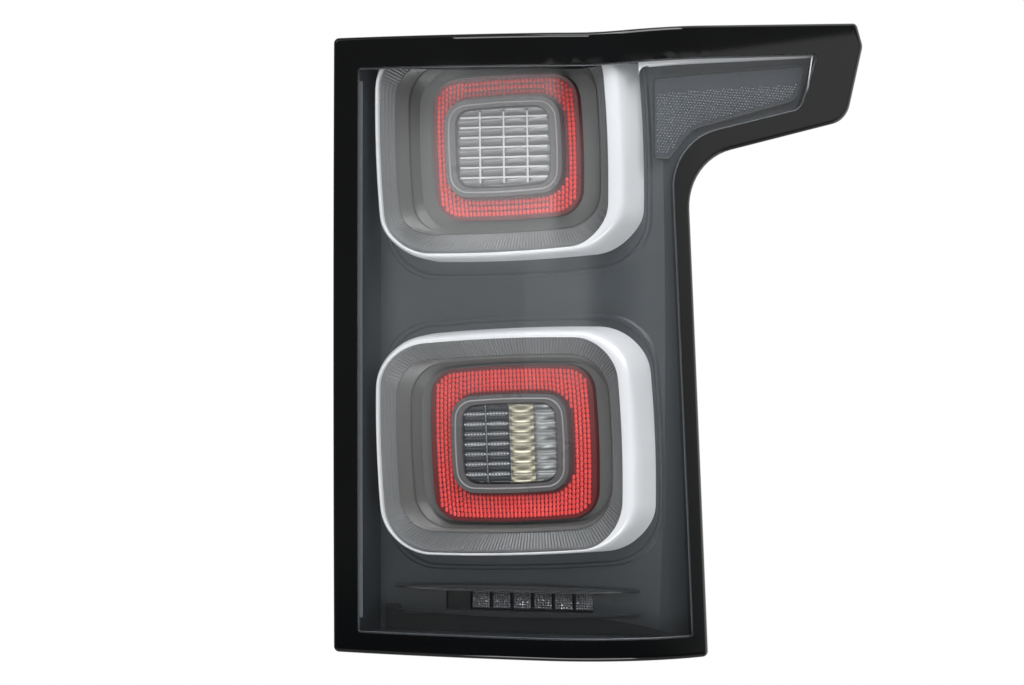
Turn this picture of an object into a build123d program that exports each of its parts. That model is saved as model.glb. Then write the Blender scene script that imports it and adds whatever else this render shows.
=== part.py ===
from build123d import *
from math import asin, cos, degrees, radians, sin, tan
import os

# Right-hand rear combination lamp, in millimetres.
# +X is outboard, +Y goes forward into the car body, +Z is up.
# The origin is midway between the two inboard fixing holes, on the face that meets the body.

# Lens face in plan: it starts at the inboard edge and wraps round the rear corner of the car
edge_x = 20.0
edge_y = -62.0
edge_heading = 4.0
bend_heading = 14.5
flank_heading = 70.0
tail_radius = 900.0
corner_radius = 130.0
flank_run = 250.0
edge_lead = 40.0
barrel_radius = 3600.0
lens_wall = 3.0
draw_angle = 30.0

# Lens outline, across the draw direction from the inboard edge and up from mid-height
column_width = 280.0
column_lean = 16.5
foot_drop = 233.0
head_rise = 229.5
head_bend_at = 195.0
head_bend_dip = 3.5
arm_root_rise = 133.7
arm_under_reach = 394.5
arm_under_rise = 172.8
arm_tip_reach = 409.0
arm_tip_rise = 232.0
arm_head_reach = 403.5
arm_head_rise = 249.5
root_fillet = 46.0
arm_under_fillet = 22.0
arm_tip_fillet = 9.0
head_blend = 300.0
edge_fillet = 4.0

# Black band round the clear window
side_band = 18.5
foot_band = 15.5
flank_band = 11.5
under_band = 17.0
tip_band = 38.5
head_band = 23.4
window_tip_fillet = 13.0
window_fillet = 2.0

# Weld rib of the lens frame and rim of the housing
lens_overhang = 5.0
rib_wall = 2.6
rim_depth = 14.0
rim_wall = 3.0
fit_gap = 0.3

# Bezel tray: its floor is turned towards the flank
tray_depth = 40.0
tray_side = 17.0
tray_turn = 15.0
bezel_wall = 2.2
bezel_front_gap = 1.5
arm_floor_depth = 16.0
flange_wall = 2.0
window_clear = 0.4
rim_gap = 1.5
rim_band = 6.0
rim_slope = 2.2
rim_height = 1.5

# Housing
housing_wall = 2.6
chamber_depth = 32.0
arm_chamber_depth = 34.0
chamber_side = 10.5
back_rib_height = 5.0
back_rib_wall = 2.5
back_ribs_z = (-190.0, -112.0, -30.0, 105.0)
back_rib_x = 165.0
back_rib_rise = 190.0

# Inboard fixing ears
fixing_pitch = 300.0
ear_radius = 12.0
ear_wall = 8.0
bush_radius = 6.0
bush_bore = 3.4
bush_flange_radius = 8.5
bush_flange = 1.2

# Outboard locating pins
pin_x = 195.0
pin_upper_z = 62.0
pin_lower_z = -168.0
pin_radius = 4.0
pin_length = 16.0
pin_collar_radius = 9.0
pin_collar = 3.0
pin_base_radius = 11.0
pin_face_y = 70.0

# Lamp units: depths are measured forward of the bezel floor
unit_roll = 2.2
upper_side = 25.1
upper_room = 93.0
upper_drop = 60.6
upper_ring_height = 172.0
lower_side = 26.35
lower_room = 85.5
lower_rise = 142.5
lower_ring_height = 167.4
upper_red = (113.5, 108.0)
lower_red = (127.0, 116.0)
trim_size = (90.0, 73.4)
glass_size = (73.0, 60.0)
ring_corner = 40.0
red_corner = 20.0
trim_corner = 17.0
glass_corner = 11.0
bulge = 0.022
ring_height = 29.0
ring_flare = 5.0
ring_lip = 1.5
ring_lip_drop = 2.4
ring_wall = 3.0
guide_height = 26.0
guide_band = 17.0
guide_drop = 9.0
guide_edge = 3.0
dish_floor = 8.0
dish_wall = 3.6
dish_slope = 4.0
red_height = 12.5
red_flange = 2.3
red_flange_wall = 2.2
trim_height = 18.0
trim_flange = 5.0
glass_height = 16.5
glass_wall = 4.0
glass_ledge = 2.5
grid_columns = 4
grid_rows = 8
grid_line = 1.0
grid_height = 0.5
reflector_depth = 13.0
bowl_floor = (46.0, 34.0)
upper_board_room = 19.0
lower_board_room = 26.5
board_height = 104.0
board_wall = 1.6
post_inset = (7.0, 10.0)
post_radius = 4.5
carrier_flange = 6.0
carrier_flange_wall = 2.0
carrier_wall = 2.4
led_size = 3.5
led_height = 1.2
red_led_inset = 6.8
red_led_pitch = 28.0
centre_led_pitch = (18.0, 14.0)
pocket_size = 8.0

# Strip lamp near the foot
strip_x = 119.5
strip_rise = 24.5
lip_length = 190.0
upper_lip = (2.5, 3.0)
lower_lip = (4.5, 2.0)
slit_height = 17.0
slit_clear = 0.8
cell_count = 6
cell_pitch = 16.0
cell_size = (13.4, 13.0)
cell_first = -27.7
cell_depth = 4.0
strip_plate = (170.0, 24.0)
strip_window = (150.0, 16.0)
strip_depth = 10.0
strip_base = 2.0
strip_screw_inset = 5.0
blank_x = -45.2
blank_width = 18.0

# Reflex plate and chrome strip in the arm
reflex_wall = 3.0
reflex_root_inset = 14.0
reflex_root_width = 12.5
reflex_root_rise = 135.0
reflex_head_rise = 188.0
reflex_tip_gap = 12.0
reflex_head_gap = 9.0
reflex_under_gap = 10.5
reflex_fillet = 3.0
reflex_tip_fillet = 9.0
chrome_start_inset = 17.0
chrome_root = 4.2
chrome_tip = 1.2
chrome_front = 6.0
chrome_end_gap = 3.0

# Connector on the back of the housing
connector_x = 90.0
connector_z = 35.0
socket_size = (38.0, 20.0)
socket_depth = 18.0
socket_wall = 2.2
connector_flange = (62.0, 34.0)
connector_flange_wall = 3.0
seal_wall = 1.8
terminal_count = 6
terminal_size = 1.6
terminal_pitch = 4.6
terminal_length = 13.0
gasket_size = (104.0, 78.0)
gasket_band = 12.0
gasket_wall = 9.0

# Breather caps and screws
vent_radius = 9.0
vent_height = 11.0
spigot_radius = 5.0
spigot_bore = 3.0
spigot_height = 7.0
vent_z = (-140.0, 150.0)
vent_x = 60.0
screw_radius = 1.5
screw_head_radius = 3.2
screw_head = 2.2
screw_length = 9.0

swing = degrees(asin((head_rise + foot_drop) / 2 * 1.25 / barrel_radius))
barrel_y = edge_y + barrel_radius
draw_reach = arm_tip_reach + 60.0
deep = corner_radius - 15.0
roll = radians(unit_roll)
upper_ring = (column_width - upper_room, upper_ring_height)
lower_ring = (column_width - lower_room, lower_ring_height)
strip_screw_x = strip_plate[0] / 2 - strip_screw_inset
window_foot = foot_band - foot_drop
window_head = head_rise - head_band
turn = radians(tray_turn)
floor_x = edge_x + tray_side
floor_y = edge_y + tray_depth
draw = radians(draw_angle)
draw_plane = Plane(origin=(edge_x, edge_y, 0), x_dir=(cos(draw), sin(draw), 0), z_dir=(sin(draw), -cos(draw), 0))


def heading(angle):
    return Vector(cos(radians(angle)), sin(radians(angle)))


def inward(angle):
    return Vector(-sin(radians(angle)), cos(radians(angle)))


# One line of the lens plan at a depth behind the face, seen from the barrel axis
def plan_line(depth):
    start = Vector(edge_x, -barrel_radius) + inward(edge_heading) * depth
    Line(start - heading(edge_heading) * edge_lead, start)
    tail = JernArc(start, heading(edge_heading), tail_radius - depth, bend_heading - edge_heading)
    corner = JernArc(tail @ 1, tail % 1, corner_radius - depth, flank_heading - bend_heading)
    flank = Line(corner @ 1, (corner @ 1) + (corner % 1) * flank_run)
    return start - heading(edge_heading) * edge_lead, flank @ 1


# Sheet that follows the lens between two depths behind its face
def lens_layer(front, back, mode=Mode.ADD):
    lean = radians(swing)
    with BuildSketch(Plane((0, barrel_y, 0), x_dir=(1, 0, 0), z_dir=(0, -sin(lean), cos(lean)))) as section:
        with BuildLine():
            front_start, front_end = plan_line(front)
            back_start, back_end = plan_line(back)
            Line(front_start, back_start)
            Line(front_end, back_end)
        make_face()
    revolve(section.sketch, Axis((0, barrel_y, 0), (-1, 0, 0)), revolution_arc=2 * swing, mode=mode)


# Underside and top of the arm, as heights over the draw plane
root_reach = column_width - column_lean
under_slope = (arm_under_rise - arm_root_rise) / (arm_under_reach - root_reach)
head_slope = (arm_head_rise - head_rise + head_bend_dip) / (arm_head_reach - head_bend_at)


def under_line(reach):
    return arm_root_rise + (reach - root_reach) * under_slope


def head_line(reach):
    return head_rise - head_bend_dip + (reach - head_bend_at) * head_slope


def prism(corners, radii, grow=0.0, mode=Mode.ADD):
    with BuildSketch(draw_plane) as face:
        with BuildLine():
            Polyline(*corners, close=True)
        make_face()
        for corner, radius in zip(corners, radii):
            fillet(face.vertices().sort_by_distance(corner)[0], radius)
        if grow:
            offset(amount=grow, kind=Kind.INTERSECTION)
    extrude(face.sketch, amount=draw_reach, both=True, mode=mode)


def outline_prism(grow=0.0, mode=Mode.ADD):
    corners = [
        (0, -foot_drop),
        (column_width, -foot_drop),
        (root_reach, arm_root_rise),
        (arm_under_reach, arm_under_rise),
        (arm_tip_reach, arm_tip_rise),
        (arm_head_reach, arm_head_rise),
        (head_bend_at, head_rise - head_bend_dip),
        (0, head_rise),
    ]
    radii = [edge_fillet, edge_fillet, root_fillet, arm_under_fillet, arm_tip_fillet, edge_fillet, head_blend, edge_fillet]
    prism(corners, radii, grow, mode)


window_root = root_reach - flank_band
window_under = arm_under_reach - tip_band
window_tip = arm_tip_reach - tip_band


def window_prism(grow=0.0, mode=Mode.ADD):
    corners = [
        (side_band, window_foot),
        (column_width - flank_band, window_foot),
        (window_root, under_line(window_root) + under_band),
        (window_under, under_line(window_under) + under_band),
        (window_tip, head_line(window_tip) - head_band),
        (head_bend_at, window_head - head_bend_dip),
        (side_band, window_head),
    ]
    radii = [window_fillet, window_fillet, root_fillet, window_tip_fillet, window_fillet, head_blend, window_fillet]
    prism(corners, radii, grow, mode)


# Planes parallel to the bezel floor
def floor_plane(height, x=floor_x, z=0.0, tilt=0.0):
    y = floor_y + (x - floor_x) * tan(turn) - height
    across = (cos(turn) * cos(tilt), sin(turn) * cos(tilt), sin(tilt))
    return Plane(origin=(x, y, z), x_dir=across, z_dir=(sin(turn), -cos(turn), 0))


def in_front_of(height, mode=Mode.ADD):
    with BuildSketch(floor_plane(height)) as face:
        Rectangle(6 * column_width, 6 * foot_drop)
    extrude(face.sketch, amount=4 * draw_reach, mode=mode)


def outboard_of(x, mode=Mode.INTERSECT):
    with Locations((edge_x + x, edge_y, 0)):
        Box(4 * column_width, 4 * draw_reach, 4 * foot_drop, align=(Align.MIN, Align.CENTER, Align.CENTER), mode=mode)


# Rounded outline with slightly bulged sides, drawn at a height in front of the bezel floor
def pillow(plane, size, corner):
    width, height = size
    belly = bulge * min(size)
    right = width / 2 - belly
    top = height / 2 - belly
    with BuildSketch(plane) as face:
        with BuildLine():
            ThreePointArc((-right, -top), (0, -height / 2), (right, -top))
            ThreePointArc((right, -top), (width / 2, 0), (right, top))
            ThreePointArc((right, top), (0, height / 2), (-right, top))
            ThreePointArc((-right, top), (-width / 2, 0), (-right, -top))
        make_face()
        fillet(face.vertices(), corner)
    return face.sketch


def grown(size, by):
    return size[0] + 2 * by, size[1] + 2 * by


class Unit:
    def __init__(self, name, side, z, ring, red, board_room):
        self.name = name
        self.x = edge_x + side + ring[0] / 2
        self.z = z
        self.ring = ring
        self.red = red
        self.board = (ring[0] - board_room, board_height)
        post_x = self.board[0] / 2 - post_inset[0]
        post_z = self.board[1] / 2 - post_inset[1]
        self.posts = [(post_x * i, post_z * j) for i in (-1, 1) for j in (-1, 1)]
        self.mouth = grown(ring, -ring_wall)
        self.core = grown(ring, -ring_wall - fit_gap)
        self.well = grown(ring, -ring_wall - guide_band)

    def plane(self, height):
        return floor_plane(height, self.x, self.z, roll)

    # Straight block from a front height back to a rear height
    def block(self, size, corner, front, back, mode=Mode.ADD):
        extrude(pillow(self.plane(front), size, corner), amount=front - back, dir=(0, 1, 0), mode=mode)

    # Tapered block between two outlines
    def taper(self, front_size, front_corner, front, back_size, back_corner, back, mode=Mode.ADD):
        sections = [
            pillow(self.plane(front), front_size, front_corner),
            pillow(self.plane(back), back_size, back_corner),
        ]
        loft(sections, mode=mode)


units = [
    Unit("upper", upper_side, window_head - upper_drop, upper_ring, upper_red, upper_board_room),
    Unit("lower", lower_side, window_foot + lower_rise, lower_ring, lower_red, lower_board_room),
]

os.makedirs("parts", exist_ok=True)


def keep(part, label):
    part.label = label
    export_step(part, f"parts/{label}.step")


# Lens window: clear shot of the outer lens
with BuildPart() as lens_window:
    lens_layer(0, lens_wall)
    window_prism(-fit_gap / 2, Mode.INTERSECT)
keep(lens_window.part, "lens_window")

# Lens frame: black shot round the window, with the weld rib behind its edge
with BuildPart() as lens_frame:
    lens_layer(0, rim_depth - fit_gap / 2)
    outline_prism(-lens_overhang, Mode.INTERSECT)
    outline_prism(-lens_overhang - rib_wall, Mode.SUBTRACT)
    with BuildPart(mode=Mode.PRIVATE) as face_sheet:
        lens_layer(0, lens_wall)
        outline_prism(0, Mode.INTERSECT)
        window_prism(0, Mode.SUBTRACT)
    add(face_sheet.part)
keep(lens_frame.part, "lens_frame")


# Room behind the window, down to a depth behind the floor or behind the arm
def chamber(grow, column_back, arm_back, side):
    with BuildPart() as limit:
        in_front_of(-column_back)
        lens_layer(rim_depth, arm_back)
    with BuildPart() as room:
        lens_layer(rim_depth, deep)
        window_prism(grow, Mode.INTERSECT)
        outboard_of(side)
        add(limit.part, mode=Mode.INTERSECT)
    return room.part


wall_clear = window_clear + bezel_wall + 2 * fit_gap
back_face = chamber_depth + housing_wall / cos(turn)
ear_z = fixing_pitch / 2
pins = [(edge_x + pin_x, pin_face_y, pin_lower_z), (edge_x + pin_x, pin_face_y, pin_upper_z)]
forward = (0, 1, 0)


# The same plane seen from behind
def turned(plane):
    return Plane(plane.origin, x_dir=-plane.x_dir, z_dir=-plane.z_dir)


# Planes on the outer back face of the housing, looking out
def back_plane(x, z):
    return turned(floor_plane(-back_face, edge_x + x, z))


vents = [back_plane(vent_x, z) for z in vent_z]
socket_plane = back_plane(connector_x, connector_z)
connector_screws_x = (connector_flange[0] + socket_size[0]) / 4
screw_hole = screw_radius + fit_gap / 3
boss_radius = 2.5 * screw_radius
below_floor = -bezel_wall / cos(turn) - fit_gap / 2

# Housing: moulded tub with the weld rim, fixing ears, pin bases, breather spigots and stiffening ribs
with BuildPart() as housing:
    add(chamber(wall_clear + housing_wall, back_face, arm_chamber_depth + housing_wall, chamber_side - housing_wall))
    with BuildPart(mode=Mode.PRIVATE) as rim:
        lens_layer(rim_depth, rim_depth + rim_wall)
        outline_prism(-lens_overhang, Mode.INTERSECT)
    add(rim.part)
    with BuildSketch(Plane.XZ) as ears:
        for side in (-1, 1):
            with Locations((0, side * ear_z)):
                Circle(ear_radius)
                Rectangle(edge_x + chamber_side, 2 * ear_radius, align=(Align.MIN, Align.CENTER))
    extrude(amount=ear_wall)
    for pin in pins:
        with Locations(Plane(pin, z_dir=(0, -1, 0))):
            Cylinder(pin_base_radius, 2 * pin_base_radius, align=(Align.CENTER, Align.CENTER, Align.MIN))
    rib_run = (pin_x - chamber_side) / cos(turn)
    with Locations(*[back_plane((pin_x + chamber_side) / 2, z) for z in back_ribs_z]):
        Box(rib_run, back_rib_wall, 2 * back_rib_height)
    with Locations(back_plane(back_rib_x, 0)):
        Box(back_rib_wall, 2 * back_rib_rise, 2 * back_rib_height)
    with Locations(*vents):
        Cylinder(spigot_radius, 2 * spigot_height)
    add(chamber(wall_clear, chamber_depth, arm_chamber_depth, chamber_side), mode=Mode.SUBTRACT)
    with Locations(socket_plane.offset(-housing_wall / 2)):
        with GridLocations(2 * connector_screws_x, 1, 2, 1):
            Cylinder(boss_radius, screw_length + housing_wall, align=(Align.CENTER, Align.CENTER, Align.MAX))
    with Locations((0, 0, ear_z), (0, 0, -ear_z)):
        Cylinder(bush_radius + fit_gap / 2, 4 * ear_wall, rotation=(90, 0, 0), mode=Mode.SUBTRACT)
    with Locations(*[Plane(pin, z_dir=forward) for pin in pins]):
        Cylinder(pin_radius + fit_gap / 2, 2 * pin_radius + pin_length / 2, mode=Mode.SUBTRACT)
    with Locations(*vents):
        Cylinder(spigot_bore, 4 * spigot_height, mode=Mode.SUBTRACT)
    with Locations(socket_plane):
        Box(socket_size[0], socket_size[1], 4 * housing_wall, mode=Mode.SUBTRACT)
        with GridLocations(2 * connector_screws_x, 1, 2, 1):
            Cylinder(screw_hole, 2 * screw_length, mode=Mode.SUBTRACT)
keep(housing.part, "housing")

strip_plane = floor_plane(0, edge_x + strip_x, window_foot + strip_rise)
slit_from = blank_x - blank_width / 2
slit_to = cell_first + cell_pitch * (cell_count - 1) + cell_size[0] / 2 + slit_clear

# Bezel: satin tray with a turned floor, a flank strip that follows the lens, and the arm pocket
with BuildPart() as bezel:
    with BuildPart(mode=Mode.PRIVATE) as tray_room:
        in_front_of(-bezel_wall / cos(turn))
        lens_layer(lens_wall + bezel_front_gap, arm_floor_depth + bezel_wall)
    lens_layer(lens_wall + bezel_front_gap, deep)
    window_prism(window_clear + bezel_wall, Mode.INTERSECT)
    outboard_of(tray_side - bezel_wall)
    add(tray_room.part, mode=Mode.INTERSECT)
    with BuildPart(mode=Mode.PRIVATE) as flange:
        lens_layer(rim_depth - fit_gap - flange_wall, rim_depth - fit_gap)
        outline_prism(-lens_overhang - rib_wall - fit_gap, Mode.INTERSECT)
        window_prism(window_clear + bezel_wall / 2, Mode.SUBTRACT)
    add(flange.part)
    with BuildPart(mode=Mode.PRIVATE) as tray_hollow:
        with BuildPart(mode=Mode.PRIVATE) as open_room:
            in_front_of(0)
            lens_layer(0, arm_floor_depth)
        lens_layer(0, deep)
        window_prism(window_clear, Mode.INTERSECT)
        outboard_of(tray_side)
        add(open_room.part, mode=Mode.INTERSECT)
    add(tray_hollow.part, mode=Mode.SUBTRACT)
    for unit in units:
        with BuildPart(mode=Mode.PRIVATE) as rim_bead:
            inner = grown(unit.ring, ring_flare + rim_gap)
            outer = grown(inner, rim_band)
            below = -bezel_wall / 2
            unit.taper(grown(outer, -rim_slope), ring_corner, rim_height, outer, ring_corner, below)
            unit.taper(grown(inner, rim_slope), ring_corner, rim_height, inner, ring_corner, below, Mode.SUBTRACT)
            window_prism(window_clear + bezel_wall / 2, Mode.INTERSECT)
            outboard_of(tray_side - bezel_wall / 2)
        add(rim_bead.part)
        unit.block(unit.mouth, ring_corner - ring_wall, ring_height, -ring_height, Mode.SUBTRACT)
    for side, (rise, reach) in ((1, upper_lip), (-1, lower_lip)):
        with BuildSketch(strip_plane.offset(-bezel_wall / 2)) as lip:
            with BuildLine():
                low = side * slit_height / 2
                ends = [(-lip_length / 2, low), (lip_length / 2, low)]
                ThreePointArc(ends[0], (0, low + side * rise), ends[1])
                Line(*ends)
            make_face()
        extrude(amount=bezel_wall / 2 + reach)
    with BuildSketch(strip_plane) as slit:
        with Locations(((slit_from + slit_to) / 2, 0)):
            Rectangle(slit_to - slit_from, slit_height)
    extrude(amount=bezel_wall * 2, both=True, mode=Mode.SUBTRACT)
keep(bezel.part, "bezel")

guide_back = guide_height - guide_drop - guide_edge
dish_back = dish_floor - dish_wall
red_back = dish_back - fit_gap - red_flange_wall
trim_front = red_back - fit_gap
trim_back = trim_front - red_flange_wall
bowl_front = trim_back - fit_gap
board_front = -reflector_depth - fit_gap / 2
core_corner = ring_corner - ring_wall
well_corner = ring_corner - ring_wall - guide_band / 2


# Ends the upper lamp under the roof of the bezel
def under_roof():
    window_prism(window_clear - fit_gap, Mode.INTERSECT)


for unit in units:
    post_plane = unit.plane(board_front)
    red_leds = grown(unit.red, -red_led_inset)
    led_places = [(red_led_pitch * i, red_leds[1] / 2 * j) for i in (-1, 0, 1) for j in (-1, 1)]
    led_places += [(red_leds[0] / 2 * j, red_led_pitch * i) for i in (-1, 0, 1) for j in (-1, 1)]

    # Chrome ring: plated, flared towards the bezel floor it stands on
    with BuildPart() as ring:
        lip_foot = ring_height - ring_lip_drop
        lip_size = grown(unit.ring, ring_lip)
        unit.taper(unit.ring, ring_corner, ring_height, lip_size, ring_corner, lip_foot)
        unit.taper(lip_size, ring_corner, lip_foot, grown(unit.ring, ring_flare), ring_corner, fit_gap / 3)
        flared_mouth = grown(unit.mouth, ring_flare)
        unit.taper(unit.mouth, core_corner, ring_height, flared_mouth, core_corner, fit_gap / 3, Mode.SUBTRACT)
        under_roof()
    keep(ring.part, f"{unit.name}_chrome_ring")

    # Light guide: clear funnel inside the ring
    with BuildPart() as guide:
        unit.block(unit.core, core_corner, guide_height, guide_back)
        mouth = grown(unit.core, -guide_edge / 2)
        knee = guide_height - guide_drop
        unit.taper(mouth, core_corner, guide_height, unit.well, well_corner, knee, Mode.SUBTRACT)
        unit.block(unit.well, well_corner, knee, guide_back, Mode.SUBTRACT)
        under_roof()
    keep(guide.part, f"{unit.name}_light_guide")

    # Dish: grey tub that carries the lamp, hung behind the bezel floor by its flange
    with BuildPart() as dish:
        dish_front = guide_back - fit_gap
        unit.block(unit.core, core_corner, dish_front, below_floor - carrier_flange_wall)
        flange_size = grown(unit.mouth, carrier_flange)
        unit.block(flange_size, ring_corner, below_floor, below_floor - carrier_flange_wall)
        tub = grown(unit.core, -carrier_wall)
        unit.block(tub, core_corner - carrier_wall, dish_back, -ring_height, Mode.SUBTRACT)
        floor_size = grown(unit.well, -dish_slope)
        unit.taper(unit.well, well_corner, dish_front, floor_size, well_corner, dish_floor, Mode.SUBTRACT)
        with BuildSketch(post_plane) as posts:
            with Locations(*unit.posts):
                Circle(post_radius)
        extrude(amount=(dish_back - board_front) * cos(turn) + dish_wall / 2)
        with BuildSketch(post_plane) as pilots:
            with Locations(*unit.posts):
                Circle(screw_hole)
        extrude(amount=screw_length, mode=Mode.SUBTRACT)
        unit.block(grown(unit.red, fit_gap), red_corner + fit_gap, ring_height, dish_back - dish_wall, Mode.SUBTRACT)
        under_roof()
    keep(dish.part, f"{unit.name}_dish")

    # Red lens: hollow frame held by its flange behind the dish
    with BuildPart() as red_lens:
        unit.block(unit.red, red_corner, red_height, red_back)
        unit.block(grown(unit.red, red_flange), red_corner + red_flange, dish_back - fit_gap, red_back)
        with BuildPart(mode=Mode.PRIVATE) as channel:
            unit.block(grown(unit.red, -red_flange_wall), red_corner - red_flange_wall, red_height - red_flange_wall, -1)
            inner_wall = grown(trim_size, fit_gap + red_flange_wall)
            unit.block(inner_wall, trim_corner + red_flange_wall, red_height, -2, Mode.SUBTRACT)
        add(channel.part, mode=Mode.SUBTRACT)
        unit.block(grown(trim_size, fit_gap), trim_corner + fit_gap, ring_height, -ring_height, Mode.SUBTRACT)
    keep(red_lens.part, f"{unit.name}_red_lens")

    # Centre trim: grey surround that clamps the centre lens
    with BuildPart() as trim:
        unit.block(trim_size, trim_corner, trim_height, trim_back)
        unit.block(grown(trim_size, trim_flange), trim_corner + trim_flange, trim_front, trim_back)
        glass_back = glass_height - glass_wall
        unit.block(grown(glass_size, fit_gap), glass_corner, ring_height, glass_back - fit_gap, Mode.SUBTRACT)
        unit.block(grown(glass_size, -glass_ledge), glass_corner, ring_height, -ring_height, Mode.SUBTRACT)
    keep(trim.part, f"{unit.name}_centre_trim")

    # Centre lens: clear block with a raised grid
    with BuildPart() as glass:
        unit.block(glass_size, glass_corner, glass_height, glass_back)
        with BuildSketch(unit.plane(glass_height)) as grid:
            with GridLocations(glass_size[0] / grid_columns, 1, grid_columns - 1, 1):
                Rectangle(grid_line, glass_size[1] - glass_corner)
            with GridLocations(1, glass_size[1] / grid_rows, 1, grid_rows - 1):
                Rectangle(glass_size[0] - glass_corner, grid_line)
        extrude(amount=grid_height)
    keep(glass.part, f"{unit.name}_centre_lens")

    # Reflector: bright bowl behind the centre lens with a pocket for each red diode
    with BuildPart() as reflector:
        rim_size = grown(unit.red, red_flange)
        unit.block(rim_size, red_corner + red_flange, trim_front, -reflector_depth)
        step = grown(trim_size, trim_flange + fit_gap)
        unit.block(step, trim_corner + trim_flange, trim_front, bowl_front, Mode.SUBTRACT)
        bowl = grown(glass_size, -glass_ledge)
        unit.taper(bowl, glass_corner, bowl_front, bowl_floor, glass_corner, -reflector_depth, Mode.SUBTRACT)
        with BuildSketch(unit.plane(-reflector_depth)) as pockets:
            with Locations(*led_places):
                Rectangle(pocket_size, pocket_size)
        extrude(amount=ring_height, both=True, mode=Mode.SUBTRACT)
    keep(reflector.part, f"{unit.name}_reflector")

    # Circuit board behind the reflector
    with BuildPart() as board:
        with BuildSketch(post_plane):
            RectangleRounded(*unit.board, post_radius)
            with Locations(*unit.posts):
                Circle(screw_hole, mode=Mode.SUBTRACT)
        extrude(amount=-board_wall)
    keep(board.part, f"{unit.name}_board")

    # Light-emitting diodes of the centre bowl and of the red frame
    with BuildPart() as leds:
        with BuildSketch(post_plane):
            with GridLocations(*centre_led_pitch, 2, 2):
                Rectangle(led_size, led_size)
            with Locations(*led_places):
                Rectangle(led_size, led_size)
        extrude(amount=led_height)
    keep(leds.part, f"{unit.name}_diodes")

# Strip carrier: black frame behind the slit, with one blank block
strip_front = below_floor * cos(turn)
cells_x = [cell_first + cell_pitch * i for i in range(cell_count)]
strip_screws = [(-strip_screw_x, 0), (strip_screw_x, 0)]
with BuildPart() as strip_carrier:
    with BuildSketch(strip_plane.offset(strip_front)):
        RectangleRounded(*strip_plate, strip_base)
        Rectangle(*strip_window, mode=Mode.SUBTRACT)
    extrude(amount=-strip_depth)
    with BuildSketch(strip_plane.offset(strip_front)):
        with Locations((blank_x, 0)):
            Rectangle(blank_width, strip_window[1])
    extrude(amount=-cell_depth)
    with BuildSketch(strip_plane.offset(strip_front - strip_depth)):
        with Locations(*strip_screws):
            Circle(screw_hole)
    extrude(amount=strip_depth - strip_base, mode=Mode.SUBTRACT)
keep(strip_carrier.part, "strip_carrier")

# Strip lens: prism cells on a clear base
cell_plane = strip_plane.offset(strip_front - cell_depth - fit_gap)
with BuildPart() as strip_lens:
    with BuildSketch(cell_plane):
        Rectangle(*grown(strip_window, -fit_gap))
    extrude(amount=-strip_base)
    with BuildSketch(cell_plane):
        with Locations(*[(x, 0) for x in cells_x]):
            Rectangle(*cell_size)
    extrude(amount=cell_depth)
keep(strip_lens.part, "strip_lens")

# Strip board and its diodes, one behind each cell
strip_board_plane = strip_plane.offset(strip_front - strip_depth - fit_gap / 2)
with BuildPart() as strip_board:
    with BuildSketch(strip_board_plane):
        RectangleRounded(*strip_plate, strip_base)
        with Locations(*strip_screws):
            Circle(screw_hole, mode=Mode.SUBTRACT)
    extrude(amount=-board_wall)
keep(strip_board.part, "strip_board")

with BuildPart() as strip_diodes:
    with BuildSketch(strip_board_plane):
        with Locations(*[(x, 0) for x in cells_x]):
            Rectangle(led_size, led_size)
    extrude(amount=led_height)
keep(strip_diodes.part, "strip_diodes")

# Reflex plate in the arm pocket
reflex_tip = window_tip - reflex_tip_gap
reflex_back = arm_floor_depth - fit_gap
reflex_root = window_root - reflex_root_inset
chrome_start = window_root - chrome_start_inset
with BuildPart() as reflex:
    lens_layer(reflex_back - reflex_wall, reflex_back)
    reflex_knee = window_root + reflex_tip_gap
    reflex_under = window_under - fit_gap
    corners = [
        (reflex_root, reflex_head_rise),
        (reflex_tip, head_line(reflex_tip) - head_band - reflex_head_gap),
        (reflex_under, under_line(reflex_under) + under_band + reflex_under_gap),
        (reflex_knee, under_line(reflex_knee) + under_band + reflex_under_gap / 2),
        (reflex_root + reflex_root_width, reflex_root_rise),
        (reflex_root, reflex_root_rise),
    ]
    radii = [reflex_fillet, reflex_fillet, reflex_tip_fillet, root_fillet / 2, reflex_fillet, reflex_fillet]
    prism(corners, radii, 0, Mode.INTERSECT)
keep(reflex.part, "arm_reflex_plate")

# Chrome strip under the roof of the arm pocket
with BuildPart() as chrome_strip:
    lens_layer(chrome_front, reflex_back)
    chrome_top = window_clear - fit_gap - head_band
    chrome_end = window_tip - chrome_end_gap
    corners = [
        (chrome_start, head_line(chrome_start) + chrome_top),
        (chrome_end, head_line(chrome_end) + chrome_top),
        (chrome_end, head_line(chrome_end) + chrome_top - chrome_tip),
        (chrome_start, head_line(chrome_start) + chrome_top - chrome_root),
    ]
    prism(corners, [], 0, Mode.INTERSECT)
keep(chrome_strip.part, "arm_chrome_strip")

# Connector: flanged shroud through the back wall, open towards the car
with BuildPart() as connector:
    with BuildSketch(socket_plane.offset(seal_wall)):
        RectangleRounded(*connector_flange, screw_head_radius)
    extrude(amount=connector_flange_wall)
    with BuildSketch(socket_plane.offset(-2 * housing_wall)):
        RectangleRounded(*grown(socket_size, -fit_gap), socket_wall / 2)
    extrude(amount=2 * housing_wall + seal_wall + connector_flange_wall + socket_depth)
    with BuildSketch(socket_plane.offset(seal_wall + connector_flange_wall)):
        Rectangle(*grown(socket_size, -fit_gap - socket_wall))
    extrude(amount=socket_depth, mode=Mode.SUBTRACT)
    with Locations(socket_plane):
        with GridLocations(2 * connector_screws_x, 1, 2, 1):
            Cylinder(screw_hole, 2 * socket_depth, mode=Mode.SUBTRACT)
        with GridLocations(terminal_pitch, 1, terminal_count, 1):
            Box(terminal_size, terminal_size, 2 * socket_depth, mode=Mode.SUBTRACT)
keep(connector.part, "connector")

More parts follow.
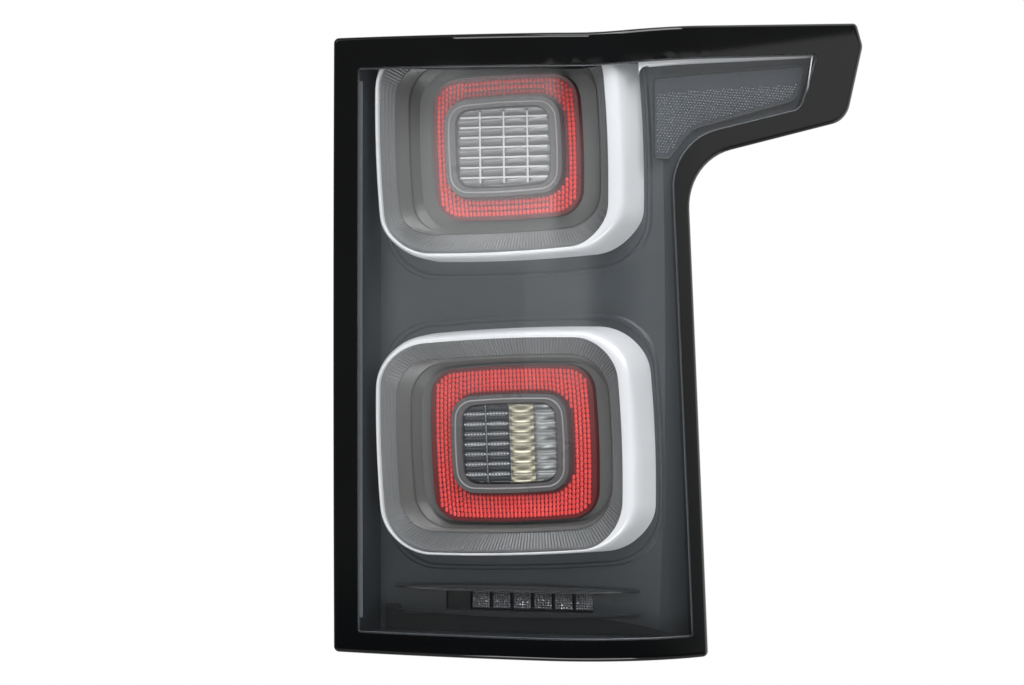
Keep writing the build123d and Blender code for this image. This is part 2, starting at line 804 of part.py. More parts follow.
# Connector terminals: straight pins through the floor of the socket
with BuildPart() as terminals:
    with BuildSketch(socket_plane.offset(seal_wall + connector_flange_wall + terminal_length)):
        with GridLocations(terminal_pitch, 1, terminal_count, 1):
            Rectangle(terminal_size - fit_gap / 3, terminal_size - fit_gap / 3)
    extrude(amount=-terminal_length - seal_wall - connector_flange_wall - 4 * housing_wall)
keep(terminals.part, "connector_terminals")

# Connector seal between the flange and the back wall
with BuildPart() as seal:
    with BuildSketch(socket_plane):
        RectangleRounded(*connector_flange, screw_head_radius)
        RectangleRounded(*grown(socket_size, fit_gap), socket_wall / 2, mode=Mode.SUBTRACT)
        with GridLocations(2 * connector_screws_x, 1, 2, 1):
            Circle(screw_hole, mode=Mode.SUBTRACT)
    extrude(amount=seal_wall)
keep(seal.part, "connector_seal")

# Body gasket: foam frame round the connector that closes the opening in the car body
with BuildPart() as gasket:
    with BuildSketch(socket_plane):
        RectangleRounded(*gasket_size, gasket_band)
        RectangleRounded(*grown(gasket_size, -gasket_band), gasket_band / 2, mode=Mode.SUBTRACT)
    extrude(amount=gasket_wall)
keep(gasket.part, "body_gasket")

# Fixing bushes: flanged steel sleeves in the ears
with BuildPart() as bushes:
    with BuildSketch(Plane.XZ):
        with Locations((0, ear_z), (0, -ear_z)):
            Circle(bush_radius)
            Circle(bush_bore, mode=Mode.SUBTRACT)
    extrude(amount=ear_wall)
    with BuildSketch(Plane.XZ.offset(ear_wall)):
        with Locations((0, ear_z), (0, -ear_z)):
            Circle(bush_flange_radius)
            Circle(bush_bore, mode=Mode.SUBTRACT)
    extrude(amount=bush_flange)
keep(bushes.part, "fixing_bushes")

# Locating pins: studs pressed into the outboard bases
with BuildPart() as pin_studs:
    for pin in pins:
        with Locations(Plane(pin, z_dir=forward)):
            Cylinder(pin_collar_radius, pin_collar, align=(Align.CENTER, Align.CENTER, Align.MIN))
            Cylinder(pin_radius, pin_collar + pin_length, align=(Align.CENTER, Align.CENTER, Align.MIN))
            Cylinder(pin_radius, pin_length / 4 + pin_radius - fit_gap, align=(Align.CENTER, Align.CENTER, Align.MAX))
    tips = pin_studs.faces().filter_by(Axis.Y).group_by(Axis.Y)[-1].edges()
    chamfer(tips, pin_radius / 3)
keep(pin_studs.part, "locating_pins")

# Breather caps: rubber caps pushed over the spigots
with BuildPart() as vent_caps:
    for vent in vents:
        with Locations(vent):
            Cylinder(vent_radius, vent_height, align=(Align.CENTER, Align.CENTER, Align.MIN))
            Cylinder(spigot_radius + fit_gap / 2, 2 * spigot_height + 2 * fit_gap, mode=Mode.SUBTRACT)
keep(vent_caps.part, "breather_caps")

# Screws of the boards and of the connector, all alike
with BuildPart() as screws:
    seats = []
    for unit in units:
        plane = turned(unit.plane(board_front).offset(-board_wall))
        seats += [Plane(plane.from_local_coords(place), z_dir=plane.z_dir) for place in unit.posts]
    strip_seat = turned(strip_board_plane.offset(-board_wall))
    seats += [Plane(strip_seat.from_local_coords(place), z_dir=strip_seat.z_dir) for place in strip_screws]
    socket_seat = socket_plane.offset(seal_wall + connector_flange_wall)
    seats += [Plane(socket_seat.from_local_coords((connector_screws_x * i, 0)), z_dir=socket_seat.z_dir) for i in (-1, 1)]
    for seat in seats:
        with BuildSketch(seat):
            RegularPolygon(screw_head_radius, 6)
        extrude(amount=screw_head)
    with Locations(*seats):
        Cylinder(screw_radius, screw_length - screw_head, align=(Align.CENTER, Align.CENTER, Align.MAX))
keep(screws.part, "screws")
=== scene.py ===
import math
import bmesh
import bpy
import numpy as np
from mathutils import Matrix, Vector
from mathutils.geometry import delaunay_2d_cdt


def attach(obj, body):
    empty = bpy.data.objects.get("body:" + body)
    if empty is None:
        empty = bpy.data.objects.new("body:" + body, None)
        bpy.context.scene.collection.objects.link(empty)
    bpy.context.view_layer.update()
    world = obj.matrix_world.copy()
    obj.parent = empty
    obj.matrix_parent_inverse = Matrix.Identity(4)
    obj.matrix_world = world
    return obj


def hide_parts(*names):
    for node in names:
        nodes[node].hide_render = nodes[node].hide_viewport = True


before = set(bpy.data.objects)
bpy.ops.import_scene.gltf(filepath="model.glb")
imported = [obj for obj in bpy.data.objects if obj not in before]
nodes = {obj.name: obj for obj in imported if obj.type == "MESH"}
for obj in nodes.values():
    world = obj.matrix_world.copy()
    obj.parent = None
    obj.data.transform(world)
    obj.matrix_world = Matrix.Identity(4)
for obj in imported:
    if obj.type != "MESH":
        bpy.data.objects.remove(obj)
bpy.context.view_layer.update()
bpy.context.scene.view_settings.view_transform = "Standard"

# Camera: level with the middle of the lamp and 2 m away, a third of the way round to its flank.
# The outlines of the outer lens are laid out across this view, further down.
view_turn = math.radians(30)
camera_data = bpy.data.cameras.new("camera")
camera_data.sensor_width = 36.0
camera_data.lens = 93.75
camera = bpy.data.objects.new("camera", camera_data)
camera.location = (1.1363, -1.7269, 0.0)
camera.rotation_euler = (math.radians(90), 0, view_turn)
add_to_scene = bpy.context.scene.collection.objects.link
add_to_scene(camera)
bpy.context.scene.camera = camera

# Studio: white walls behind the lamp and a dim room behind the camera. Pale panels in the room lie as
# a haze on the upper window, and one at the flank shows in the arm. The floor is plain and pale.
world = bpy.data.worlds.new("studio")
world.use_nodes = True
tree = world.node_tree
tree.nodes.clear()


# Sockets of a node set to values
def preset(made, **sockets):
    for name, value in sockets.items():
        made.inputs[name.replace("_", " ")].default_value = value
    return made


# New node in a tree, with its sockets set
def node(tree, kind, **sockets):
    return preset(tree.nodes.new(kind), **sockets)


# Maths node between two numbers or sockets, in the tree at hand
def maths(operation, first, second):
    made = tree.nodes.new("ShaderNodeMath")
    made.operation = operation
    for socket, value in zip(made.inputs, (first, second)):
        if isinstance(value, (int, float)):
            socket.default_value = value
        else:
            tree.links.new(value, socket)
    return made.outputs[0]


# Smooth step of an angle between two limits, in degrees
def ramp(angle, low, high):
    made = node(tree, "ShaderNodeMapRange", From_Min=math.radians(low), From_Max=math.radians(high))
    made.interpolation_type = "SMOOTHSTEP"
    tree.links.new(angle, made.inputs["Value"])
    return made.outputs["Result"]


# Angles outboard from where the lens faces, up from level, and up from the flank panel's tilted edge
coord = tree.nodes.new("ShaderNodeTexCoord")
split = tree.nodes.new("ShaderNodeSeparateXYZ")
tree.links.new(coord.outputs["Generated"], split.inputs[0])
sideways = maths("ARCTAN2", split.outputs["X"], maths("MULTIPLY", split.outputs["Y"], -1.0))
upwards = maths("ARCSINE", split.outputs["Z"], 0.0)
panel_corner, steep_side, shallow_side = math.radians(114.5), 0.17, -0.053
past_corner = maths("SUBTRACT", sideways, panel_corner)
steep_edge = maths("MULTIPLY", past_corner, steep_side)
flank_edge = maths("MAXIMUM", steep_edge, maths("MULTIPLY", past_corner, shallow_side))
tilted = maths("SUBTRACT", upwards, flank_edge)

# Panels: strength, and the degrees between which each fades in and out, sideways and upwards
glow = 0.12  # the dim room
for strength, left, right, height, low, high in [
    (0.60, (-22, -17), (25, 45), upwards, (-7, 0), (8, 10.5)),  # haze on the upper window
    (1.50, (-16, -11), (4, 16), upwards, (2.5, 6), (11.2, 12.2)),  # bright core of the haze
    (-0.09, (-200, -190), (190, 200), upwards, (-95, -92), (-13, -7)),  # darker below the horizon
    (0.25, (-2.4, -1.9), (25, 40), upwards, (-3, -1), (3, 5)),  # panel with a sharp left edge
    (0.75, (121, 140), (178, 180), upwards, (-90, -80), (80, 90)),  # white wall, right half
    (0.75, (-180, -178), (-130, -100), upwards, (-90, -80), (80, 90)),  # white wall, left half
    (0.45, (-60, -30), (130, 160), upwards, (28, 44), (88, 90)),  # overhead
    (0.55, (50, 75), (118, 128), tilted, (-14, 8), (7.85, 8.0)),  # flank, seen in the arm
]:
    wide = maths("MULTIPLY", ramp(sideways, *left), maths("SUBTRACT", 1.0, ramp(sideways, *right)))
    tall = maths("MULTIPLY", ramp(height, *low), maths("SUBTRACT", 1.0, ramp(height, *high)))
    glow = maths("ADD", glow, maths("MULTIPLY", maths("MULTIPLY", wide, tall), strength))
path = tree.nodes.new("ShaderNodeLightPath")
back = node(tree, "ShaderNodeBackground", Color=(1, 1, 1, 1))
tree.links.new(maths("MAXIMUM", path.outputs["Is Camera Ray"], glow), back.inputs["Strength"])
tree.links.new(back.outputs[0], tree.nodes.new("ShaderNodeOutputWorld").inputs["Surface"])
bpy.context.scene.world = world


# Surface of the tree at hand as a blend of two shaders
def blend(share, first, second):
    mix = tree.nodes.new("ShaderNodeMixShader")
    for socket, value in zip(mix.inputs, (share, first.outputs[0], second.outputs[0])):
        tree.links.new(value, socket)
    tree.links.new(mix.outputs[0], tree.nodes["Material Output"].inputs["Surface"])


floor_mesh = bpy.data.meshes.new("floor")
half, level = 3.0, -1.4
floor_corners = [(-half, -half, level), (half, -half, level), (half, half, level), (-half, half, level)]
floor_mesh.from_pydata(floor_corners, [], [(0, 1, 2, 3)])
floor = bpy.data.objects.new("floor", floor_mesh)
add_to_scene(floor)
floor_paint = bpy.data.materials.new("floor_paint")
floor_paint.use_nodes = True
tree = floor_paint.node_tree
plain = preset(tree.nodes["Principled BSDF"], Base_Color=(0.38, 0.38, 0.38, 1), Roughness=0.8)
path = tree.nodes.new("ShaderNodeLightPath")
pale = tree.nodes.new("ShaderNodeEmission")
blend(maths("MAXIMUM", path.outputs["Is Camera Ray"], path.outputs["Is Transmission Ray"]), plain, pale)
floor_mesh.materials.append(floor_paint)

# Soft boxes: name, place, size and power, all turned to the middle of the lamp
lamp_middle = Vector((0.15, 0.0, 0.0))
for name, place, size, power in [
    ("left_box", (-1.5, -1.3, 1.35), (1.2, 1.2), 4.0),
    ("top_box", (0.7, -1.2, 2.0), (1.6, 1.2), 20.0),
    ("front_box", (0.5, -2.2, 1.1), (1.8, 0.4), 12.0),
    ("flank_box", (1.9, -0.5, 1.8), (2.0, 1.6), 58.0),
    ("low_box", (0.7, -1.1, -1.2), (2.0, 0.7), 24.0),
]:
    lamp = bpy.data.lights.new(name, "AREA")
    lamp.shape = "RECTANGLE"
    lamp.size, lamp.size_y = size
    lamp.energy = power
    box = bpy.data.objects.new(name, lamp)
    box.location = place
    box.rotation_euler = (lamp_middle - Vector(place)).to_track_quat("-Z", "Y").to_euler()
    add_to_scene(box)


# Plastics and metals: one principled shader whose colour, gloss and grain follow noise.
def surface(name, colour, rough, metallic=0.0, mottle=0.06, scale=300.0, grain=0.05):
    paint = bpy.data.materials.new(name)
    paint.use_nodes = True
    tree = paint.node_tree
    shader = preset(tree.nodes["Principled BSDF"], Metallic=metallic)
    coord = tree.nodes.new("ShaderNodeTexCoord")
    broad = node(tree, "ShaderNodeTexNoise", Scale=scale / 12, Detail=4)
    fine = node(tree, "ShaderNodeTexNoise", Scale=scale * 4, Detail=2)
    tree.links.new(coord.outputs["Object"], broad.inputs["Vector"])
    tree.links.new(coord.outputs["Object"], fine.inputs["Vector"])
    ramp = tree.nodes.new("ShaderNodeValToRGB")
    for stop, place, change in zip(ramp.color_ramp.elements, (0.3, 0.7), (1 - mottle, 1 + mottle)):
        stop.position = place
        stop.color = (*[min(1, c * change) for c in colour], 1)
    tree.links.new(broad.outputs["Fac"], ramp.inputs["Fac"])
    tree.links.new(ramp.outputs["Color"], shader.inputs["Base Color"])
    spread = node(tree, "ShaderNodeMapRange", To_Min=rough * 0.85, To_Max=min(1, rough * 1.15))
    tree.links.new(broad.outputs["Fac"], spread.inputs["Value"])
    tree.links.new(spread.outputs["Result"], shader.inputs["Roughness"])
    bump = node(tree, "ShaderNodeBump", Strength=grain, Distance=0.0003)
    tree.links.new(fine.outputs["Fac"], bump.inputs["Height"])
    tree.links.new(bump.outputs["Normal"], shader.inputs["Normal"])
    return paint


# Mesh object from points in millimetres, riding on the lamp's one body.
def piece(name, points, faces, paint, slot, *stands_for):
    mesh = bpy.data.meshes.new(name)
    mesh.from_pydata((np.asarray(points) / 1000).tolist(), [], faces)
    body = bmesh.new()
    body.from_mesh(mesh)
    bmesh.ops.remove_doubles(body, verts=body.verts, dist=1e-6)
    bmesh.ops.recalc_face_normals(body, faces=body.faces)
    body.to_mesh(mesh)
    body.free()
    mesh.polygons.foreach_set("use_smooth", [True] * len(mesh.polygons))
    mesh.set_sharp_from_angle(angle=math.radians(35))
    mesh.materials.append(paint)
    made = bpy.data.objects.new(name, mesh)
    add_to_scene(made)
    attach(made, "root")
    if stands_for:
        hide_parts(*stands_for)
    return made


# Outer lens: one wrapped face, moulded in two shots, black round the edge and clear in the window.
# In plan it runs along a wide arc, a tight corner and a straight flank; its height is barrelled.
# The black shot has a rounded edge and a weld rib behind it that meets the housing.
def inward(angle):
    return np.array([-math.sin(math.radians(angle)), math.cos(math.radians(angle))])


edge = np.array([20.0, -62.0])
tail_radius, corner_radius, barrel = 900.0, 130.0, 3600.0
tail_turn, corner_turn, flank_turn = 4.0, 14.5, 70.0
tail_centre = edge + tail_radius * inward(tail_turn)
corner_centre = tail_centre - tail_radius * inward(corner_turn) + corner_radius * inward(corner_turn)
flank_start = corner_centre - corner_radius * inward(flank_turn)


# Depth of points in plan under the arc, the corner or the flank
def plan_depth(p):
    about_corner = p - corner_centre
    turn = np.degrees(np.arctan2(about_corner[:, 0], -about_corner[:, 1]))
    about_tail = p - tail_centre
    on_arc = np.degrees(np.arctan2(about_tail[:, 0], -about_tail[:, 1])) > tail_turn
    tail = np.where(on_arc, tail_radius - np.hypot(*about_tail.T), (p - edge) @ inward(tail_turn))
    corner = corner_radius - np.hypot(*about_corner.T)
    flank = (p - flank_start) @ inward(flank_turn)
    return np.where(turn > flank_turn, flank, np.where(turn > corner_turn, corner, tail))


across = np.array([math.cos(view_turn), math.sin(view_turn)])
draw = np.array([-across[1], across[0]])


# Points at a depth under the lens face, from how far across the view and how high they are
def lens_points(reach, depth):
    reach = np.asarray(reach, float)
    nearest, farthest, halvings = -200.0, 420.0, 44
    low, high = np.full(len(reach), nearest), np.full(len(reach), farthest)
    start = edge + reach[:, :1] * across
    axis_y = edge[1] + barrel
    for _ in range(halvings):
        mid = (low + high) / 2
        p = start + mid[:, None] * draw
        flat = np.column_stack([p[:, 0], axis_y - np.hypot(axis_y - p[:, 1], reach[:, 1])])
        deep = plan_depth(flat) > depth
        high = np.where(deep, mid, high)
        low = np.where(deep, low, mid)
    p = start + low[:, None] * draw
    return np.column_stack([p, reach[:, 1]])


# Loop of points round a shape with rounded corners, grown outwards, with a point every step or so
def outline(corners, radii, grow, step=6.0):
    arc_step = 6
    corners = np.asarray(corners, float)
    edges = np.roll(corners, -1, 0) - corners
    length = np.hypot(*edges.T)
    along = edges / length[:, None]
    out = np.column_stack([along[:, 1], -along[:, 0]])
    arcs, loop = [], []
    for i in range(len(corners)):
        a, b = along[i - 1], along[i]
        turn = 1 if a[0] * b[1] - a[1] * b[0] > 0 else -1
        place = corners[i] + grow * (out[i - 1] + out[i]) / (1 + out[i - 1] @ out[i])
        radius = max(0.02, radii[i] + grow * turn)
        bend = math.acos(max(-1, min(1, a @ b)))
        first = place - a * (radius * math.tan(bend / 2))
        arcs.append((first, a, turn, radius, bend))
    for i, (first, a, turn, radius, bend) in enumerate(arcs):
        centre = first + turn * radius * np.array([-a[1], a[0]])
        spoke = first - centre
        count = max(3, int(math.degrees(bend) / arc_step))
        for j in range(count + 1):
            angle = turn * bend * j / count
            c, s = math.cos(angle), math.sin(angle)
            loop.append(centre + [c * spoke[0] - s * spoke[1], s * spoke[0] + c * spoke[1]])
        last, goal = loop[-1], arcs[(i + 1) % len(arcs)][0]
        rungs = max(1, int(length[i] / step))
        loop += [last + (goal - last) * j / rungs for j in range(1, rungs)]
    return np.array(loop)


# Which of the points lie inside a loop
def inside(loop, p):
    x, y = p[:, 0], p[:, 1]
    hit = np.zeros(len(p), bool)
    for (x0, y0), (x1, y1) in zip(loop, np.roll(loop, -1, 0)):
        hit ^= ((y0 > y) != (y1 > y)) & (x < (x1 - x0) * (y - y0) / (y1 - y0 + 1e-12) + x0)
    return hit


# Even triangles between an outer loop and a hole, with the loops' own points first
def fill(outer, hole=None, spacing=6.0):
    rim = outer if hole is None else np.vstack([outer, hole])
    gx = np.arange(outer[:, 0].min(), outer[:, 0].max(), spacing)
    gy = np.arange(outer[:, 1].min(), outer[:, 1].max(), spacing)
    grid = np.array([(x + (j % 2) * spacing / 2, y) for j, y in enumerate(gy) for x in gx])
    keep = inside(outer, grid)
    if hole is not None:
        keep &= ~inside(hole, grid)
    grid = grid[keep]
    near = np.array([np.min(np.hypot(*(rim - g).T)) for g in grid])
    grid = grid[near > spacing * 0.45]
    points = np.vstack([rim, grid])
    n, m = len(outer), len(rim)
    links = [(i, (i + 1) % n) for i in range(n)] + [(n + i, n + (i + 1) % (m - n)) for i in range(m - n)]
    made = delaunay_2d_cdt([tuple(p) for p in points], links, [], 1, 1e-7)
    flat, faces = np.array([tuple(v) for v in made[0]]), np.array([tuple(f) for f in made[2]])
    if hole is not None:
        faces = faces[~inside(hole, flat[faces].mean(axis=1))]
    return flat, [tuple(int(v) for v in f) for f in faces]


# Faces between two loops of n points
def wall(first, second, n):
    return [(first + i, first + (i + 1) % n, second + (i + 1) % n, second + i) for i in range(n)]


# Plate between two depths under the lens face, whose filled front has its rim points first
def plate(name, flat, front, rim, depths, paint, slot, *stands_for):
    n = len(flat)
    points = np.vstack([lens_points(flat, depth) for depth in depths])
    faces = front + [tuple(n + v for v in f[::-1]) for f in front] + wall(n, 0, rim)
    piece(name, points, faces, paint, slot, *stands_for)


# Corners of the black shot and of the window, as reach across the view and height
slope = (172.8 - 133.7) / (394.5 - 263.5)
rise = (249.5 - 226.0) / (403.5 - 195.0)
outer_corners = [(0, -233), (280, -233), (263.5, 133.7), (394.5, 172.8),
                 (409, 232), (403.5, 249.5), (195, 226), (0, 229.5)]
outer_radii = [4, 4, 46, 22, 9, 4, 300, 4]
window_corners = [(18.5, -217.5), (268.5, -217.5),
                  (252, 133.7 - 11.5 * slope + 17), (356, 133.7 + 92.5 * slope + 17),
                  (370.5, 226 + 175.5 * rise - 23.4), (195, 202.6), (18.5, 206.1)]
window_radii = [2, 2, 46, 13, 2, 300, 2]

black = surface("piano_black", (0.0022, 0.0024, 0.0027), 0.025, mottle=0.2, scale=120, grain=0.004)
window_edge = outline(window_corners, window_radii, 0)
n, m = len(outline(outer_corners, outer_radii, 0)), len(window_edge)
shot_thick, edge_round, face_start = 3.0, 2.8, -6.0
rib_outer, rib_inner, rib_depth = -5.0, -7.6, 13.85
profile = [(rib_inner, shot_thick), (rib_inner, rib_depth), (rib_outer, rib_depth), (rib_outer, shot_thick)]
profile.append((0.0, shot_thick))
for angle in range(0, 91, 15):
    turned = math.radians(angle)
    profile.append((-edge_round * (1 - math.cos(turned)), edge_round * (1 - math.sin(turned))))
profile += [(-4.2, 0.0), (face_start, 0.0)]
points, faces = [], []
for i, (grow, depth) in enumerate(profile):
    points.append(lens_points(outline(outer_corners, outer_radii, grow), depth))
    if i:
        faces += wall((i - 1) * n, i * n, n)
base = len(profile) * n
hole_starts = []
for grow, depth, flip in [(face_start, 0.0, False), (rib_inner, shot_thick, True)]:
    flat, made = fill(outline(outer_corners, outer_radii, grow), window_edge)
    points.append(lens_points(flat, depth))
    faces += [tuple(base + v for v in (f[::-1] if flip else f)) for f in made]
    hole_starts.append(base + n)
    base += len(flat)
faces += wall(hole_starts[1], hole_starts[0], m)
piece("lens_frame_face", np.vstack(points), faces, black, "black_gloss", "lens_frame")

clear = bpy.data.materials.new("clear_window")
clear.use_nodes = True
tree = clear.node_tree
gloss = preset(tree.nodes["Principled BSDF"], Base_Color=(0.9, 0.92, 0.93, 1), Metallic=1.0, Roughness=0.03)
see = node(tree, "ShaderNodeBsdfTransparent", Color=(0.96, 0.965, 0.97, 1))
facing = node(tree, "ShaderNodeLayerWeight", Blend=0.5)
square_on = 0.04
glancing = maths("POWER", facing.outputs["Facing"], 5.0)
film = maths("ADD", maths("MULTIPLY", glancing, 1 - square_on), square_on)
ripple = node(tree, "ShaderNodeTexNoise", Scale=14)
coord = tree.nodes.new("ShaderNodeTexCoord")
tree.links.new(coord.outputs["Object"], ripple.inputs["Vector"])
bump = node(tree, "ShaderNodeBump", Strength=0.02, Distance=0.001)
tree.links.new(ripple.outputs["Fac"], bump.inputs["Height"])
tree.links.new(bump.outputs["Normal"], gloss.inputs["Normal"])
blend(film, see, gloss)
shot_gap = 0.15
flat, made = fill(outline(window_corners, window_radii, -shot_gap))
plate("lens_window_pane", flat, made, m, (0.0, shot_thick), clear, "clear_lens", "lens_window")


# Bezel: satin grey moulded tray behind the window, with a fine spark-eroded grain.
# It is clipped between the weld rib of the lens and the rim of the housing. Its grey darkens towards the foot,
# which is painted shade.
def coat_solid(name, paint):
    mesh = nodes[name].data
    mesh.materials.clear()
    mesh.materials.append(paint)


bezel_paint = surface("bezel_satin", (0.047, 0.054, 0.060), 0.40, mottle=0.04, grain=0.006)
tree = bezel_paint.node_tree
height = tree.nodes.new("ShaderNodeSeparateXYZ")
tree.links.new(tree.nodes["Texture Coordinate"].outputs["Object"], height.inputs[0])
# Painted shade: the base colour is darkened by height, down to 0.55 at the foot.
painted_foot_shade = node(tree, "ShaderNodeMapRange", From_Min=-0.21, From_Max=-0.02, To_Min=0.55, To_Max=1.0)
tree.links.new(height.outputs["Z"], painted_foot_shade.inputs["Value"])
painted_shade_colour = tree.nodes.new("ShaderNodeVectorMath")
painted_shade_colour.operation = "MULTIPLY"
tree.links.new(tree.nodes["Color Ramp"].outputs["Color"], painted_shade_colour.inputs[0])
tree.links.new(painted_foot_shade.outputs["Result"], painted_shade_colour.inputs[1])
tree.links.new(painted_shade_colour.outputs[0], tree.nodes["Principled BSDF"].inputs["Base Color"])
coat_solid("bezel", bezel_paint)


# Lamp units: each has its own axes on the turned bezel floor, rolled by the rake of the lamp.
# An outline is a rounded rectangle with slightly bulged sides, read from the top centre round by the left.
turn, roll = math.radians(15), math.radians(2.2)
unit_x = np.array([math.cos(turn) * math.cos(roll), math.sin(turn) * math.cos(roll), math.sin(roll)])
unit_z = np.array([-math.cos(turn) * math.sin(roll), -math.sin(turn) * math.sin(roll), math.cos(roll)])
units = {
    "upper": {"x": 138.6, "z": 145.5, "ring": (187.0, 172.0), "red": (113.5, 108.0)},
    "lower": {"x": 143.6, "z": -75.0, "ring": (194.5, 167.4), "red": (127.0, 116.0)},
}


# Point of the turned bezel floor at a distance outboard and a height
def floor_point(x, z):
    start_x, start_y = 37.0, -22.0
    return np.array([x, start_y + (x - start_x) * math.tan(turn), z])


# Points of a flat outline, lifted off the floor towards the lens
def unit_points(unit, flat, height):
    start = floor_point(unit["x"], unit["z"])
    flat = np.asarray(flat, float)
    lift = np.zeros((len(flat), 3))
    lift[:, 1] = -np.asarray(height)
    return start + flat[:, :1] * unit_x + flat[:, 1:] * unit_z + lift


# The rounded rectangle, grown outwards, as evenly spaced points
def pillow(size, grow, corner, count):
    bulge = 0.022
    w, h = size[0] / 2 + grow, size[1] / 2 + grow
    belly = bulge * 2 * min(w, h)
    big_r = ((h - belly) ** 2 + belly**2) / (2 * belly)
    big_t = ((w - belly) ** 2 + belly**2) / (2 * belly)
    right, top = np.array([w - big_r, 0.0]), np.array([0.0, h - big_t])
    r1, r2, gap = big_r - corner, big_t - corner, np.hypot(*(top - right))
    along = (r1**2 - r2**2 + gap**2) / (2 * gap)
    up = (top - right) / gap
    reach = math.sqrt(r1**2 - along**2)
    ends = [right + along * up + s * reach * np.array([-up[1], up[0]]) for s in (-1, 1)]
    centre = max(ends, key=lambda p: p.sum())
    a1 = math.atan2(*(centre - right)[::-1])
    a2 = math.atan2(*(centre - top)[::-1])

    def arc(c, r, start, end, n=60):
        t = np.linspace(start, end, n)
        return np.column_stack([c[0] + r * np.cos(t), c[1] + r * np.sin(t)])

    upwards = [arc(right, big_r, 0, a1), arc(centre, corner, a1, a2), arc(top, big_t, a2, math.pi / 2)]
    quarter = np.vstack(upwards)[::-1]
    path = np.vstack([quarter * [-1, 1], quarter[::-1] * [-1, -1], quarter * [1, -1], quarter[::-1]])
    run = np.concatenate([[0], np.cumsum(np.hypot(*np.diff(path, axis=0).T))])
    at = np.arange(count) * run[-1] / count
    return np.column_stack([np.interp(at, run, path[:, 0]), np.interp(at, run, path[:, 1])])


# Height of the bezel roof over a point, which cuts the upper lamp short
def roof(points):
    bend, left_end, fall = 195.0, 206.2, 3.5
    reach = (points[:, :2] - edge) @ across
    return np.where(reach < bend, left_end - fall * reach / bend, left_end - fall + (reach - bend) * rise)


# The part of a loop under the roof, read evenly from its left end to its right end
def below_roof(loop, count):
    over = roof(loop) - loop[:, 2]
    kept = np.flatnonzero(over > 0)
    first, last = kept[0], kept[-1]

    def crossing(i, j):
        t = over[i] / (over[i] - over[j])
        return loop[i] + t * (loop[j] - loop[i])

    left_end, right_end = crossing(first, first - 1), crossing(last, (last + 1) % len(loop))
    path = np.vstack([left_end, loop[first:last + 1], right_end])
    run = np.concatenate([[0], np.cumsum(np.linalg.norm(np.diff(path, axis=0), axis=1))])
    at = np.linspace(0, run[-1], count)
    return np.column_stack([np.interp(at, run, path[:, i]) for i in range(3)])


# Closed skin over loops whose last joins the first; an open run gets end caps
def skin(loops, closed):
    n, faces = len(loops[0]), []
    for i in range(len(loops)):
        a, b = i * n, (i + 1) % len(loops) * n
        for j in range(n if closed else n - 1):
            faces.append((a + j, a + (j + 1) % n, b + (j + 1) % n, b + j))
    if not closed:
        faces.append(tuple(i * n for i in range(len(loops))))
        faces.append(tuple(i * n + n - 1 for i in reversed(range(len(loops)))))
    return np.vstack(loops), faces


# Chrome rings: moulded and satin plated, a flared wall with a broad soft lip. They stand on the bezel floor.
# The upper one is open at the top, where the bezel roof cuts it off.
satin_chrome = surface("satin_chrome", (0.84, 0.85, 0.86), 0.32, 0.15, mottle=0.03, scale=200, grain=0.02)
# Section from the outer foot over the lip to the inner foot: growth, height, corner, share of the hood
ring_section = [
    (5.0, 0.1, 40, 0), (4.4, 6, 40, 0), (3.8, 12, 40, 0), (3.2, 18, 40, 0), (2.5, 23, 40, 0),
    (1.9, 25.6, 40, 0), (1.5, 26.6, 40, 0), (0.9, 27.6, 40, 0), (0.2, 28.5, 40, 0), (-0.5, 28.9, 40, 0.1),
    (-1.2, 29.0, 39, 0.35), (-2.2, 29.0, 37.5, 0.85), (-2.8, 28.7, 37, 1), (-3.0, 28.0, 37, 1),
    (-3.0, 27.0, 37, 0), (-2.0, 22, 37, 0), (0.0, 11, 37, 0), (2.0, 0.1, 37, 0),
]
lip_foot, lip_tall, lip_outer, lip_inner = 18, 7.6, 1.5, -3.0
# How far a lip reaches over on the right, thins and moves in on the left, lifts and thins below, drops above
lips = {
    "upper": {"hood": 5.5, "thin_left": 0.30, "left_in": 1.1, "lift": 4.5, "thin_low": 0.3, "drop": 0.0},
    "lower": {"hood": 3.7, "thin_left": 0.36, "left_in": 0.3, "lift": 0.0, "thin_low": 0.6, "drop": 2.6},
}


# How far each point of an outline belongs to its left, right, low and top sides, from 0 to 1
def sides(flat, size):
    shares = []
    x, z = flat[:, 0] / size[0], flat[:, 1] / size[1]
    for share in (-x, x, -z, z):
        t = np.clip((share * 2 - 0.5) / 0.45, 0, 1)
        shares.append(t**2 * (3 - 2 * t))
    return shares


for name, unit in units.items():
    lip = lips[name]
    loops = []
    for grow, height, corner, cover in ring_section:
        flat = pillow(unit["ring"], grow, corner, 320)
        left, right, low, top = sides(flat, unit["ring"])
        near_lip = min(1, max(0, (height - lip_foot) / lip_tall))
        thinner = lip["thin_left"] * (lip_outer - grow) - lip["left_in"]
        flat[:, 0] -= lip["hood"] * cover * right + near_lip * thinner * left
        flat[:, 1] += (lip["lift"] + lip["thin_low"] * (grow - lip_inner)) * low - lip["drop"] * top
        loops.append(unit_points(unit, flat, height))
    if name == "upper":
        loops = [below_roof(loop, 260) for loop in loops]
    points, faces = skin(loops, name == "lower")
    piece(name + "_chrome_ring_wall", points, faces, satin_chrome, "chrome", name + "_chrome_ring")

# Light guides: clear moulded funnels inside the rings, ribbed across at top, bottom and corners
# and grooved along at the sides, so that the light of the edge comes out evenly.
guide_paint = surface("ribbed_guide", (0.165, 0.17, 0.172), 0.42, 0.1, mottle=0.05, scale=200, grain=0.02)
guide_outer, guide_inner, guide_front, guide_fall = -4.8, -20.0, 26.0, 9.0
guide_width = guide_outer - guide_inner
inner_corner, back_height, guide_middle, middle_corner = 28.5, 14.0, -12.0, 33.0
ribs, grooves, rib_tall, groove_tall = 250, 8, 0.42, 0.30


